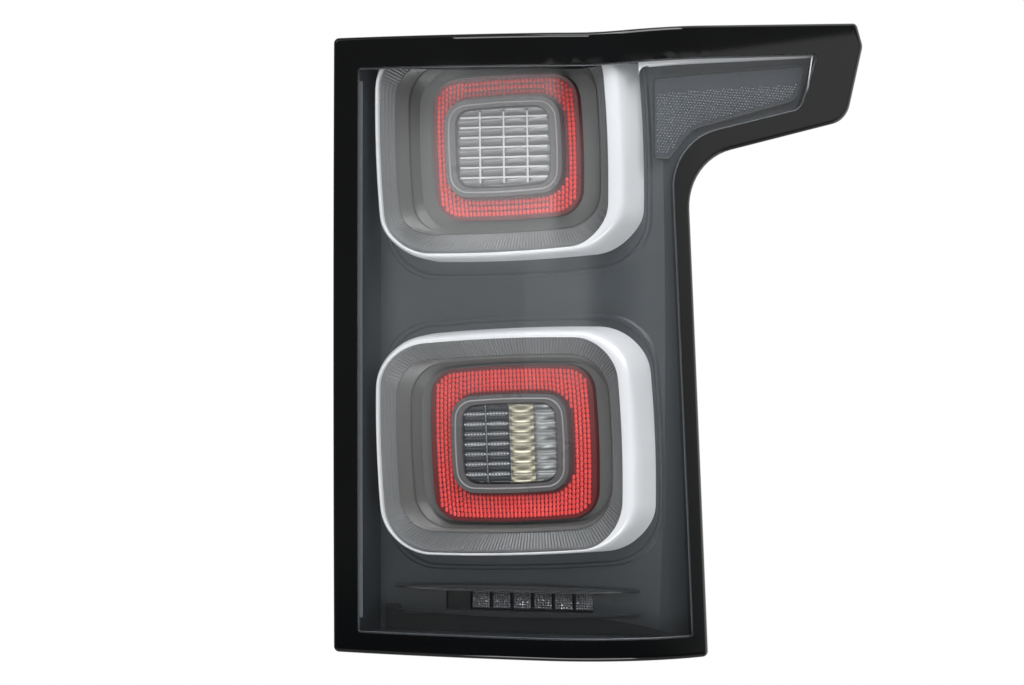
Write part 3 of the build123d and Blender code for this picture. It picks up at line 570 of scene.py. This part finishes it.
# Outline in the light guide, which follows the thinner left lip and the lifted foot of its ring
def guide_outline(name, grow, corner, count):
    flat = pillow(units[name]["ring"], grow, corner, count)
    left, _, low, _ = sides(flat, units[name]["ring"])
    flat[:, 0] -= 1.5 * np.clip((grow - guide_inner) / guide_width, 0, 1) * left
    flat[:, 1] += lips[name]["lift"] * low
    return flat


for name, unit in units.items():
    count, rows = 1000, 33
    loops = []
    mid = pillow(unit["ring"], guide_middle, middle_corner, count)
    ahead = np.roll(mid, -1, 0) - np.roll(mid, 1, 0)
    upright = np.abs(ahead[:, 1]) / np.hypot(*ahead.T)
    side = np.clip((upright - 0.90) / 0.09, 0, 1)
    rib = np.cos(np.arange(count) * 2 * math.pi * ribs / count)
    for i in range(rows):
        t = i / (rows - 1)
        fade = math.sin(math.pi * t) ** 0.3
        groove = math.cos(2 * math.pi * grooves * t)
        relief = rib_tall * rib * (1 - 0.9 * side) + groove_tall * groove * side
        flat = guide_outline(name, guide_outer - t * guide_width, 37 - 8.5 * t, count)
        loops.append(unit_points(unit, flat, guide_front - guide_fall * t + fade * relief))
    back_loops = [(guide_inner, inner_corner, back_height), (-3.3, 37, back_height), (-3.3, 37, guide_front)]
    for grow, corner, height in back_loops:
        loops.append(unit_points(unit, guide_outline(name, grow, corner, count), height))
    if name == "upper":
        loops = [below_roof(loop, 820) for loop in loops]
    points, faces = skin(loops, name == "lower")
    piece(name + "_ribbed_guide", points, faces, guide_paint, "light_guide", name + "_light_guide")

# Dishes: smooth grey tubs that carry each lamp, moulded, with a flange that laps over the light guide.
# The centre trims are a darker satin grey, with a bead round them whose paler grey is a painted highlight
# along the trim's rounded edge.
dish_paint = surface("dish_grey", (0.125, 0.125, 0.12), 0.35, metallic=0.2, mottle=0.04, grain=0.04)
trim_paint = surface("trim_grey", (0.105, 0.098, 0.100), 0.28, metallic=0.2, mottle=0.04, grain=0.04)
for name in units:
    coat_solid(name + "_dish", dish_paint)
    coat_solid(name + "_centre_trim", trim_paint)
flange_width = {"upper": (7.0, 0.0, 1.0), "lower": (7.5, 3.0, 2.0)}
flange_inner, flange_least = -20.3, 0.8
flange_span = guide_middle - flange_inner
flange_section = [(0, -2.0), (0, 0.5), (0.94, 0.7), (0.98, 0.95), (1.03, 0.95), (1.07, 0.6), (1.08, -1.0)]
for name, unit in units.items():
    inner = guide_outline(name, flange_inner, inner_corner, 400)
    outer = guide_outline(name, guide_middle, middle_corner, 400)
    left, _, low, top = sides(inner, unit["ring"])
    reach = [wide * share for wide, share in zip(flange_width[name], (left**0.4, low, top))]
    width = (flange_least + np.max(reach, axis=0)) / flange_span
    loops = []
    for share, above in flange_section:
        down = (guide_outer - flange_inner - flange_span * share * width) / guide_width
        flat = inner + (share * width)[:, None] * (outer - inner)
        loops.append(unit_points(unit, flat, guide_front - guide_fall * down + above))
    if name == "upper":
        loops = [below_roof(loop, 330) for loop in loops]
    piece(name + "_dish_flange", *skin(loops, name == "lower"), dish_paint, "dish_grey")
# The paler grey of the bead is a painted highlight along the trim's rounded edge.
trim_highlight_paint = surface("trim_painted_highlight", (0.30, 0.29, 0.29), 0.25, mottle=0.04, grain=0.02)
trim_size, trim_corner, trim_top, bead_inset, bead_radius = (90.0, 73.4), 17, 18.0, 3.4, 0.6
for name, unit in units.items():
    loops = []
    for angle in range(0, 360, 45):
        grow = -bead_inset + bead_radius * math.cos(math.radians(angle))
        height = trim_top + bead_radius * math.sin(math.radians(angle))
        loops.append(unit_points(unit, pillow(trim_size, grow, trim_corner + grow, 180), height))
    piece(name + "_trim_painted_highlight", *skin(loops, True), trim_highlight_paint, "trim_grey")

# Red lenses: dyed clear plastic frames. Their faces carry slightly bowed columns of small pillow flutes,
# moulded in one with the frame.
rim_red = surface("deep_red", (0.13, 0.010, 0.013), 0.16, mottle=0.10, scale=260, grain=0.02)
flute_red = surface("fluted_red", (0.80, 0.060, 0.056), 0.24, mottle=0.12, scale=260, grain=0.02)
flute_kit = bpy.data.node_groups.new("flute_rows", "GeometryNodeTree")


# Sockets of a node kit: geometry in and out, and inputs by label, as the keys that its modifier takes
def kit_inputs(kit, kinds):
    keys = {}
    kit.interface.new_socket("Geometry", in_out="INPUT", socket_type="NodeSocketGeometry")
    for label, kind in kinds:
        socket = kit.interface.new_socket(label, in_out="INPUT", socket_type="NodeSocket" + kind)
        keys[label] = socket.identifier
    kit.interface.new_socket("Geometry", in_out="OUTPUT", socket_type="NodeSocketGeometry")
    return keys


flute_sizes = ("Flute width", "Flute height", "Flute depth")
flute_inputs = kit_inputs(flute_kit, [(label, "Float") for label in flute_sizes]
                          + [("Turn", "Rotation"), ("Paint", "Material")])
entry, leave = flute_kit.nodes.new("NodeGroupInput"), flute_kit.nodes.new("NodeGroupOutput")
ball = node(flute_kit, "GeometryNodeMeshIcoSphere", Radius=1.0, Subdivisions=2)
scale = flute_kit.nodes.new("ShaderNodeCombineXYZ")
spread = flute_kit.nodes.new("GeometryNodeInstanceOnPoints")
real = flute_kit.nodes.new("GeometryNodeRealizeInstances")
dress = flute_kit.nodes.new("GeometryNodeSetMaterial")
for start, end in [
    (entry.outputs["Geometry"], spread.inputs["Points"]),
    (ball.outputs["Mesh"], spread.inputs["Instance"]),
    (entry.outputs["Flute width"], scale.inputs["X"]),
    (entry.outputs["Flute height"], scale.inputs["Y"]),
    (entry.outputs["Flute depth"], scale.inputs["Z"]),
    (entry.outputs["Turn"], spread.inputs["Rotation"]),
    (scale.outputs[0], spread.inputs["Scale"]),
    (spread.outputs[0], real.inputs[0]),
    (real.outputs[0], dress.inputs["Geometry"]),
    (entry.outputs["Paint"], dress.inputs["Material"]),
    (dress.outputs[0], leave.inputs[0]),
]:
    flute_kit.links.new(start, end)


# Points in millimetres become one mesh by a kit, whose nodes are worked out and taken off
def grown(name, points, kit, keys, values, outward=None):
    mesh = bpy.data.meshes.new(name + "_points")
    mesh.from_pydata((np.asarray(points) / 1000).tolist(), [], [])
    if outward is not None:
        layer = mesh.attributes.new("out", "FLOAT_VECTOR", "POINT")
        layer.data.foreach_set("vector", np.asarray(outward, float).ravel())
    seed = bpy.data.objects.new(name + "_points", mesh)
    add_to_scene(seed)
    grow = seed.modifiers.new(kit.name, "NODES")
    grow.node_group = kit
    for label, value in values:
        grow[keys[label]] = value
    made = bpy.data.meshes.new_from_object(seed.evaluated_get(bpy.context.evaluated_depsgraph_get()))
    bpy.data.objects.remove(seed)
    done = bpy.data.objects.new(name, made)
    add_to_scene(done)
    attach(done, "root")
    return done


# Smooth flutes of one size, turned to the axes of the lamp unit
def flutes(name, points, size, axes, paint):
    values = [(label, value / 1000) for label, value in zip(flute_sizes, size)]
    values += [("Turn", Matrix(np.column_stack(axes).tolist()).to_euler()), ("Paint", paint)]
    mesh = grown(name, points, flute_kit, flute_inputs, values).data
    mesh.polygons.foreach_set("use_smooth", [True] * len(mesh.polygons))


floor_normal = np.array([math.sin(turn), -math.cos(turn), 0.0])
unit_axes = (unit_x, unit_z, floor_normal)
flute_inset, flute_base, column_pitch, row_pitch, column_bow = 2.6, 12.3, 3.0, 3.7, 0.044
for name, unit in units.items():
    coat_solid(name + "_red_lens", rim_red)
    spots = []
    outer = pillow(unit["red"], -flute_inset, 17.4, 200)
    inner = pillow(trim_size, 1.9, 18.9, 200)
    fine = np.arange(-70.0, 70.0, 0.1)
    half = np.array(unit["red"]) / 2 - flute_inset
    bow = column_bow * half.min() / half[0]
    for i in range(-24, 25):
        column = np.column_stack([i * column_pitch * (1 + bow * (0.5 - (fine / half[1]) ** 2)), fine])
        red = inside(outer, column) & ~inside(inner, column)
        ends = np.flatnonzero(np.diff(np.concatenate([[0], red, [0]])))
        for first, last in zip(ends[::2], ends[1::2] - 1):
            rows = max(1, round((fine[last] - fine[first]) / row_pitch))
            spots += [column[round(first + (j + 0.5) * (last - first) / rows)] for j in range(rows)]
    points = unit_points(unit, spots, flute_base)
    flutes(name + "_red_flutes", points, (1.42, 2.05, 1.0), unit_axes, flute_red)

# Centre lenses: clear blocks with four columns and eight rows of optics between raised bright lines.
# In the lower lamp the third column shows the yellow of the diodes behind it. The bright arcs and glints in
# the cells are painted highlights.
clear_block = surface("centre_optic", (1.0, 1.0, 1.0), 0.14, metallic=0.35, mottle=0.12, scale=900, grain=0.03)
tree = clear_block.node_tree
optic_tone_and_highlight = tree.nodes.new("ShaderNodeVertexColor")
optic_tone_and_highlight.layer_name = "optic_tone_and_highlight"
tint = tree.nodes.new("ShaderNodeMix")
tint.data_type = "RGBA"
tint.blend_type = "MULTIPLY"
preset(tint, Factor=1.0)
tree.links.new(tree.nodes["Color Ramp"].outputs["Color"], tint.inputs["A"])
tree.links.new(optic_tone_and_highlight.outputs["Color"], tint.inputs["B"])
tree.links.new(tint.outputs["Result"], tree.nodes["Principled BSDF"].inputs["Base Color"])
line_paint = surface("optic_line", (0.62, 0.63, 0.62), 0.20, metallic=0.2, mottle=0.05, grain=0.02)
optic_size, optic_corner, optic_edge, optic_top = (73.0, 60.0), 11, -0.9, 16.1
optic_wide, optic_tall, line_height, dash = 18.25, 7.5, 16.3, 2.4
for name, unit in units.items():
    count = 160
    loops = []
    for grow, height in ((0, 12.6), (0, 15.2), (-0.3, 15.8), (optic_edge, optic_top)):
        loops.append(unit_points(unit, pillow(optic_size, grow, optic_corner + grow, count), height))
    flat, made = fill(pillow(optic_size, optic_edge, optic_corner + optic_edge, count), None, 0.65)
    column = np.abs((flat[:, 0] / optic_wide) % 1 - 0.5) * 2
    row = np.abs((flat[:, 1] / optic_tall) % 1 - 0.5) * 2
    height = optic_top + 0.75 * np.clip(1 - row**2, 0, 1) * np.clip(1 - column**8, 0, 1)
    height[:count] = optic_top
    points, faces = skin(loops, True)
    faces = [f for f in faces if max(f) < 3 * count or min(f) >= count]
    start = len(points)
    faces += [tuple(start + v for v in f) for f in made]
    faces += [tuple(range(count))]
    points = np.vstack([points, unit_points(unit, flat, height)])
    block = piece(name + "_centre_optic", points, faces, clear_block, "clear_lens", name + "_centre_lens")

    # Tones and painted highlights of the optics: where each point lies, by column and row, and from -1 to 1
    # within its optic
    shown = np.array([v.co for v in block.data.vertices]) * 1000 - floor_point(unit["x"], unit["z"])
    a, b = shown @ unit_x + line_height * math.sin(turn), shown @ unit_z
    column = np.clip((a // optic_wide + 2).astype(int), 0, 3)
    row = (b // optic_tall).astype(int)
    s, v = (a / optic_wide) % 1 * 2 - 1, (b / optic_tall) % 1 * 2 - 1
    if name == "upper":
        # Upper lens: the bright arc in the two right columns is a painted highlight.
        painted_arc_highlight = np.exp(-((v - 0.3 + 0.5 * s**2) / 0.3) ** 2) * (column > 1)
        optic_tones_and_highlights = (0.14 + 0.14 * painted_arc_highlight)[:, None] * np.ones(3)
    else:
        chance = (np.sin(row * 12.9898 + column * 78.233) * 43758.5453) % 1
        # Lower lens: the arcs and glints are painted highlights, and the third column's warm yellow stands for
        # the diodes behind it.
        painted_smile_highlight = np.exp(-((v + 0.5 - 0.8 * s**2 + 0.3 * chance) / 0.28) ** 2)
        painted_brow_highlight = np.exp(-((v - 0.55 + 0.5 * s**2) / 0.16) ** 2)
        off_v, off_s = (v - 0.25 * s + 0.2 - 0.5 * chance) / 0.26, (s + 0.6 - 0.9 * chance) / 0.4
        painted_glint = np.exp(-off_v**2 - off_s**2)
        line = np.abs(v) > 0.84
        edged = (line & (a % dash < 1.4)) | (np.abs(s) > 0.95)
        dark = np.where(edged, 0.26, 0.045)[:, None] * np.array([0.92, 0.98, 1.08])
        warm = (0.20 + 0.62 * painted_smile_highlight + 0.24 * painted_brow_highlight + 0.10 * line)[:, None] * np.array([1.0, 0.94, 0.70])
        silver = 0.17 + 0.62 * painted_glint * (chance > 0.2) + 0.14 * painted_brow_highlight + 0.12 * line
        silver = silver[:, None] * np.array([0.97, 1.0, 1.0])
        optic_tones_and_highlights = np.where((column < 2)[:, None], dark, np.where((column == 2)[:, None], warm, silver))
    layer = block.data.color_attributes.new("optic_tone_and_highlight", "FLOAT_COLOR", "POINT")
    layer.data.foreach_set("color", np.column_stack([optic_tones_and_highlights, np.ones(len(a))]).ravel())

    # Raised lines: half-round bars in the upper lens, hung plumb, and rows of dots in the lower one
    if name == "upper":
        bars, faces, plumb = [], [], 0.03
        lines = [(optic_tall * j, True) for j in range(-3, 4)] + [(optic_wide * j, False) for j in (-1, 0, 1)]
        for centre, long_way in lines:
            reach = 33.5 if long_way else 26.5
            for end in (-reach, reach):
                for angle in range(0, 181, 30):
                    wide = 0.75 * math.cos(math.radians(angle))
                    tall = line_height + 0.7 * math.sin(math.radians(angle))
                    x, z = (end, centre + wide) if long_way else (centre - wide, end)
                    bars.append(unit_points(unit, [(x + plumb * z, z - plumb * x)], tall)[0])
            b = len(bars) - 14
            faces += [(b + j, b + j + 1, b + 8 + j, b + 7 + j) for j in range(6)]
            faces += [(b + 6, b, b + 7, b + 13), tuple(range(b + 6, b - 1, -1)), tuple(range(b + 7, b + 14))]
        piece(name + "_optic_lines", bars, faces, line_paint, "clear_lens")
    else:
        across_dots = [-34.6 + dash * i + (0.9 if i > 6 else 0) for i in range(14)]
        dots = [(x, optic_tall * j) for x in across_dots for j in range(-3, 4)]
        points = unit_points(unit, dots, 16.2)
        flutes(name + "_optic_dots", points, (0.8, 0.6, 0.45), unit_axes, line_paint)

# Strip lamp near the foot: six cells of small silver prisms, moulded in a smoked base.
# They sit in a black carrier behind the slit of the bezel.
carrier_paint = surface("carrier_black", (0.007, 0.007, 0.008), 0.35, mottle=0.1)
coat_solid("strip_carrier", carrier_paint)
coat_solid("strip_lens", surface("smoked_base", (0.03, 0.031, 0.033), 0.2, mottle=0.1, grain=0.02))
prism_kit = bpy.data.node_groups.new("prism_field", "GeometryNodeTree")
prism_inputs = kit_inputs(prism_kit, [("Sides", "Int"), ("Prism radius", "Float"), ("Prism height", "Float"),
                                      ("Unevenness", "Vector"), ("Seed", "Int"), ("Paint", "Material")])
entry, leave = prism_kit.nodes.new("NodeGroupInput"), prism_kit.nodes.new("NodeGroupOutput")
cone = node(prism_kit, "GeometryNodeMeshCone", Radius_Top=0.0)
out = node(prism_kit, "GeometryNodeInputNamedAttribute", Name="out")
out.data_type = "FLOAT_VECTOR"
align = prism_kit.nodes.new("FunctionNodeAlignRotationToVector")
align.axis = "Z"
back_way = prism_kit.nodes.new("ShaderNodeVectorMath")
back_way.operation = "SCALE"
preset(back_way, Scale=-1.0)
chance = prism_kit.nodes.new("FunctionNodeRandomValue")
chance.data_type = "FLOAT_VECTOR"
lean = prism_kit.nodes.new("FunctionNodeEulerToRotation")
twist = prism_kit.nodes.new("FunctionNodeRotateRotation")
twist.rotation_space = "LOCAL"
spread = prism_kit.nodes.new("GeometryNodeInstanceOnPoints")
real = prism_kit.nodes.new("GeometryNodeRealizeInstances")
dress = prism_kit.nodes.new("GeometryNodeSetMaterial")
for start, end in [
    (entry.outputs["Sides"], cone.inputs["Vertices"]),
    (entry.outputs["Prism radius"], cone.inputs["Radius Bottom"]),
    (entry.outputs["Prism height"], cone.inputs["Depth"]),
    (out.outputs["Attribute"], align.inputs["Vector"]),
    (entry.outputs["Unevenness"], back_way.inputs[0]),
    (back_way.outputs[0], chance.inputs["Min"]),
    (entry.outputs["Unevenness"], chance.inputs["Max"]),
    (entry.outputs["Seed"], chance.inputs["Seed"]),
    (chance.outputs["Value"], lean.inputs[0]),
    (align.outputs[0], twist.inputs["Rotation"]),
    (lean.outputs[0], twist.inputs["Rotate By"]),
    (entry.outputs["Geometry"], spread.inputs["Points"]),
    (cone.outputs["Mesh"], spread.inputs["Instance"]),
    (twist.outputs[0], spread.inputs["Rotation"]),
    (spread.outputs[0], real.inputs[0]),
    (real.outputs[0], dress.inputs["Geometry"]),
    (entry.outputs["Paint"], dress.inputs["Material"]),
    (dress.outputs[0], leave.inputs[0]),
]:
    prism_kit.links.new(start, end)


# Prisms that stand on points along outward directions, each leaning a little by chance
def prisms(name, points, outward, corners, radius, height, uneven, paint):
    values = [("Sides", corners), ("Prism radius", radius / 1000), ("Prism height", height / 1000)]
    values += [("Unevenness", uneven), ("Seed", 7), ("Paint", paint)]
    grown(name, points, prism_kit, prism_inputs, values, outward)


prism_paint = surface("prism_silver", (0.27, 0.278, 0.288), 0.24, metallic=0.4, mottle=0.3, scale=900)
strip_x = np.array([math.cos(turn), math.sin(turn), 0.0])
strip_up = np.array([0, 0, 1.0])
strip_middle = floor_point(139.5, -193.0)
first_cell, cell_pitch, prism_pitch, prism_depth = -27.7, 16.0, 1.9, 2.7
square = [(prism_pitch * j, prism_pitch * k) for j in range(-3, 4) for k in range(-3, 4)]
spots = np.array([(first_cell + cell_pitch * i + x, z) for i in range(6) for x, z in square])
points = strip_middle + spots[:, :1] * strip_x + spots[:, 1:] * strip_up - prism_depth * floor_normal
outward = np.tile(floor_normal, (len(points), 1))
prisms("strip_prisms", points, outward, 4, 1.3, 0.8, (0.2, 0.2, 0.4), prism_paint)

# Painted shadow under the upper lip of the slit: a thin black strip behind the lip, where the lip's shadow
# falls.
# It fades out at both ends.
shadow_half, shadow_fade, shadow_top, shadow_thick = 94.0, 94.5, 8.3, 2.4
sweep = np.linspace(-shadow_half, shadow_half, 80)
points, faces = [], []
for x in sweep:
    low = shadow_top - shadow_thick * (1 - (x / shadow_fade) ** 4)
    for height, ahead in ((shadow_top, 0.05), (shadow_top, 2.6), (low, 2.2), (low, 0.05)):
        points.append(strip_middle + x * strip_x + height * strip_up + ahead * floor_normal)
for i in range(len(sweep) - 1):
    faces += [(4 * i + j, 4 * i + (j + 1) % 4, 4 * i + 4 + (j + 1) % 4, 4 * i + 4 + j) for j in range(4)]
faces += [(0, 1, 2, 3), tuple(4 * len(sweep) - 4 + j for j in (3, 2, 1, 0))]
# Its black, in the carrier's paint, is painted shadow.
piece("strip_lip_painted_shadow", points, faces, carrier_paint, "black_plastic")

# Arm: grey reflex plate with a honeycomb face below a plain band and a groove round it.
# A tapered chrome strip over it runs on from the upper ring by a rounded joint.
reflex_paint = surface("reflex_grey", (0.050, 0.056, 0.064), 0.30, mottle=0.05, grain=0.03)
comb_paint = surface("reflex_comb", (0.064, 0.072, 0.082), 0.22, mottle=0.05, grain=0.02)
coat_solid("arm_reflex_plate", reflex_paint)
bright_chrome = surface("bright_chrome", (0.96, 0.97, 0.98), 0.40, mottle=0.03, scale=200, grain=0.02)
coat_solid("arm_chrome_strip", bright_chrome)
face_corners = [(239.0, 136.2), (250.2, 135.9), (268.0, 158.5), (353.0, 187.0), (360.5, 213.5), (239.0, 194.5)]
face_radii = [2, 3, 18, 12, 3, 4]
face_depth, face_thick = 12.3, 0.6


# Closed tube along a loop of reach and height, under the lens at a depth
def bead(name, loop, depth, radius, paint, slot):
    path = lens_points(loop, depth)
    out = path - lens_points(loop, depth + 1.0)
    out /= np.linalg.norm(out, axis=1)[:, None]
    along = np.roll(path, -1, 0) - np.roll(path, 1, 0)
    sidewise = np.cross(out, along)
    sidewise /= np.linalg.norm(sidewise, axis=1)[:, None]
    loops = [path + radius * (math.cos(a) * out + math.sin(a) * sidewise) for a in np.arange(6) * math.pi / 3]
    piece(name, *skin(loops, True), paint, slot)


face_edge = outline(face_corners, face_radii, 0, 4.0)
flat, made = fill(face_edge, None, 4.0)
depths = (face_depth, face_depth + face_thick)
plate("reflex_face", flat, made, len(face_edge), depths, reflex_paint, "reflex_grey")
groove_paint = surface("reflex_groove", (0.014, 0.016, 0.019), 0.4, mottle=0.1, grain=0.03)
bead("reflex_groove", outline(face_corners, face_radii, 0.3, 3.0), 12.5, 1.0, groove_paint, "reflex_grey")
comb_x, comb_z, comb_pitch, comb_row = 236, 134, 2.3, 2.0
grid = [(i + 0.5 * (j % 2), j) for i in range(56) for j in range(40)]
spots = np.array([(comb_x + comb_pitch * i, comb_z + comb_row * j) for i, j in grid])
spots = spots[inside(outline(face_corners, face_radii, -2.4), spots)]
plain_band = 183.0 + (spots[:, 0] - 242.0) * 15.0 / 110.0
spots = spots[spots[:, 1] < plain_band]
points = lens_points(spots, face_depth)
sidewise, upward = (lens_points(spots + shift, face_depth) - points for shift in ([0.5, 0], [0, 0.5]))
outward = np.cross(sidewise, upward)
outward /= np.linalg.norm(outward, axis=1)[:, None]
prisms("reflex_honeycomb", points, outward, 6, 1.25, 0.55, (0.12, 0.12, 0.0), comb_paint)

joint_x, joint_z, joint_radius = 234.3, 196.5, 7.0
turns = [math.radians(angle) for angle in range(90, -1, -10)]
arc = [(joint_x - joint_radius * math.sin(a), joint_z + joint_radius * math.cos(a)) for a in turns]
joint = np.array([(227.0, 205.8)] + arc + [(243.0, 204.1), (243.0, 208.0)])
k = len(joint)
plate("arm_chrome_joint", joint, [tuple(range(k))], k, (5.8, 14.0), bright_chrome, "chrome")
# Bright line at the end of the arm: a painted highlight, standing for the edge of the clear shot catching
# light.
end_highlight = np.array([(366.0, 221.0), (365.1, 221.0), (360.0, 189.0), (360.9, 189.0)])
plate("arm_end_painted_highlight", end_highlight, [(0, 1, 2, 3)], 4, (3.4, 5.0), bright_chrome, "chrome")

# Edge of the clear shot: a pale line round the window, and a wider one down its inboard side,
# where the front edge of the bezel shows through.
line_grey = surface("window_line", (0.13, 0.14, 0.15), 0.3, mottle=0.05, grain=0.01)
bead("window_edge_line", outline(window_corners, window_radii, -0.7, 5.0), 4.0, 0.6, line_grey, "bezel_grey")
rows = 40
reach = [(u, z) for z in np.linspace(-206, 196, rows) for u in (18.9, 22.4)]
points = np.vstack([lens_points(reach, 3.9), lens_points(reach, 4.8)])
k = len(reach)
loop = list(range(0, k, 2)) + list(range(k - 1, 0, -2))
faces = [(2 * i, 2 * i + 1, 2 * i + 3, 2 * i + 2) for i in range(rows - 1)]
faces += [tuple(k + v for v in f[::-1]) for f in faces]
faces += [(a, b, k + b, k + a) for a, b in zip(loop, loop[1:] + loop[:1])]
piece("window_side_line", points, faces, line_grey, "bezel_grey")

# Foot step: the lower end of the bezel floor falls away under the strip lamp; the step is moulded in one with
# the bezel.
# A thin near-black sheet laid on the floor stands for it, and its near-black is painted shade.
step_corners = [(-102, -217), (126, -217), (126, -215.5), (97, -209.5),
                (70, -205.8), (-88, -205), (-91, -198), (-102, -198)]
flat = outline(step_corners, [0.5, 0.5, 0.5, 40, 60, 4, 1.5, 0.5], 0, 6.0)
k = len(flat)
lay = strip_middle * [1, 1, 0] + flat[:, :1] * strip_x + flat[:, 1:] * strip_up
# Near-black paint: painted shade where the step lies in shadow.
foot_shade_paint = surface("foot_painted_shade", (0.004, 0.0045, 0.005), 0.4, mottle=0.05, grain=0.006)
faces = [tuple(range(k)), tuple(range(2 * k - 1, k - 1, -1))] + wall(k, 0, k)
points = np.vstack([lay + 1.0 * floor_normal, lay + 0.05 * floor_normal])
piece("bezel_foot_shade_sheet", points, faces, foot_shade_paint, "bezel_grey")

# Inside and back: vacuum-plated reflectors, boards with yellow diodes, a black moulded housing,
# rubber and foam seals, and zinc-plated steel screws, bushes and pins. All are CAD solids.
reflector_paint = surface("vacuum_plated", (0.75, 0.76, 0.77), 0.15, 0.9, mottle=0.05, scale=200, grain=0.02)
board_paint = surface("board_green", (0.02, 0.075, 0.045), 0.45, mottle=0.15, scale=500, grain=0.08)
diode_paint = surface("diode_yellow", (0.72, 0.55, 0.12), 0.4, mottle=0.15, scale=900)
for name in units:
    coat_solid(name + "_reflector", reflector_paint)
for name in (*units, "strip"):
    coat_solid(name + "_board", board_paint)
    coat_solid(name + "_diodes", diode_paint)
for name, paint in [
    ("housing", surface("housing_black", (0.025, 0.026, 0.028), 0.5, mottle=0.08, scale=250, grain=0.15)),
    ("connector", surface("connector_black", (0.02, 0.02, 0.021), 0.45, mottle=0.08, scale=400, grain=0.10)),
    ("connector_terminals", surface("tin_plate", (0.70, 0.69, 0.66), 0.3, 1.0, 0.05, scale=600, grain=0.03)),
    ("connector_seal", surface("seal_rubber", (0.03, 0.03, 0.03), 0.7, mottle=0.1, scale=500, grain=0.15)),
    ("breather_caps", surface("cap_rubber", (0.028, 0.028, 0.03), 0.65, mottle=0.1, scale=500, grain=0.15)),
    ("body_gasket", surface("open_foam", (0.045, 0.045, 0.047), 0.9, mottle=0.25, scale=1200, grain=0.5)),
]:
    coat_solid(name, paint)
steel_paint = surface("zinc_steel", (0.62, 0.62, 0.60), 0.32, metallic=1.0, scale=400, grain=0.03)
for name in ("fixing_bushes", "locating_pins", "screws"):
    coat_solid(name, steel_paint)
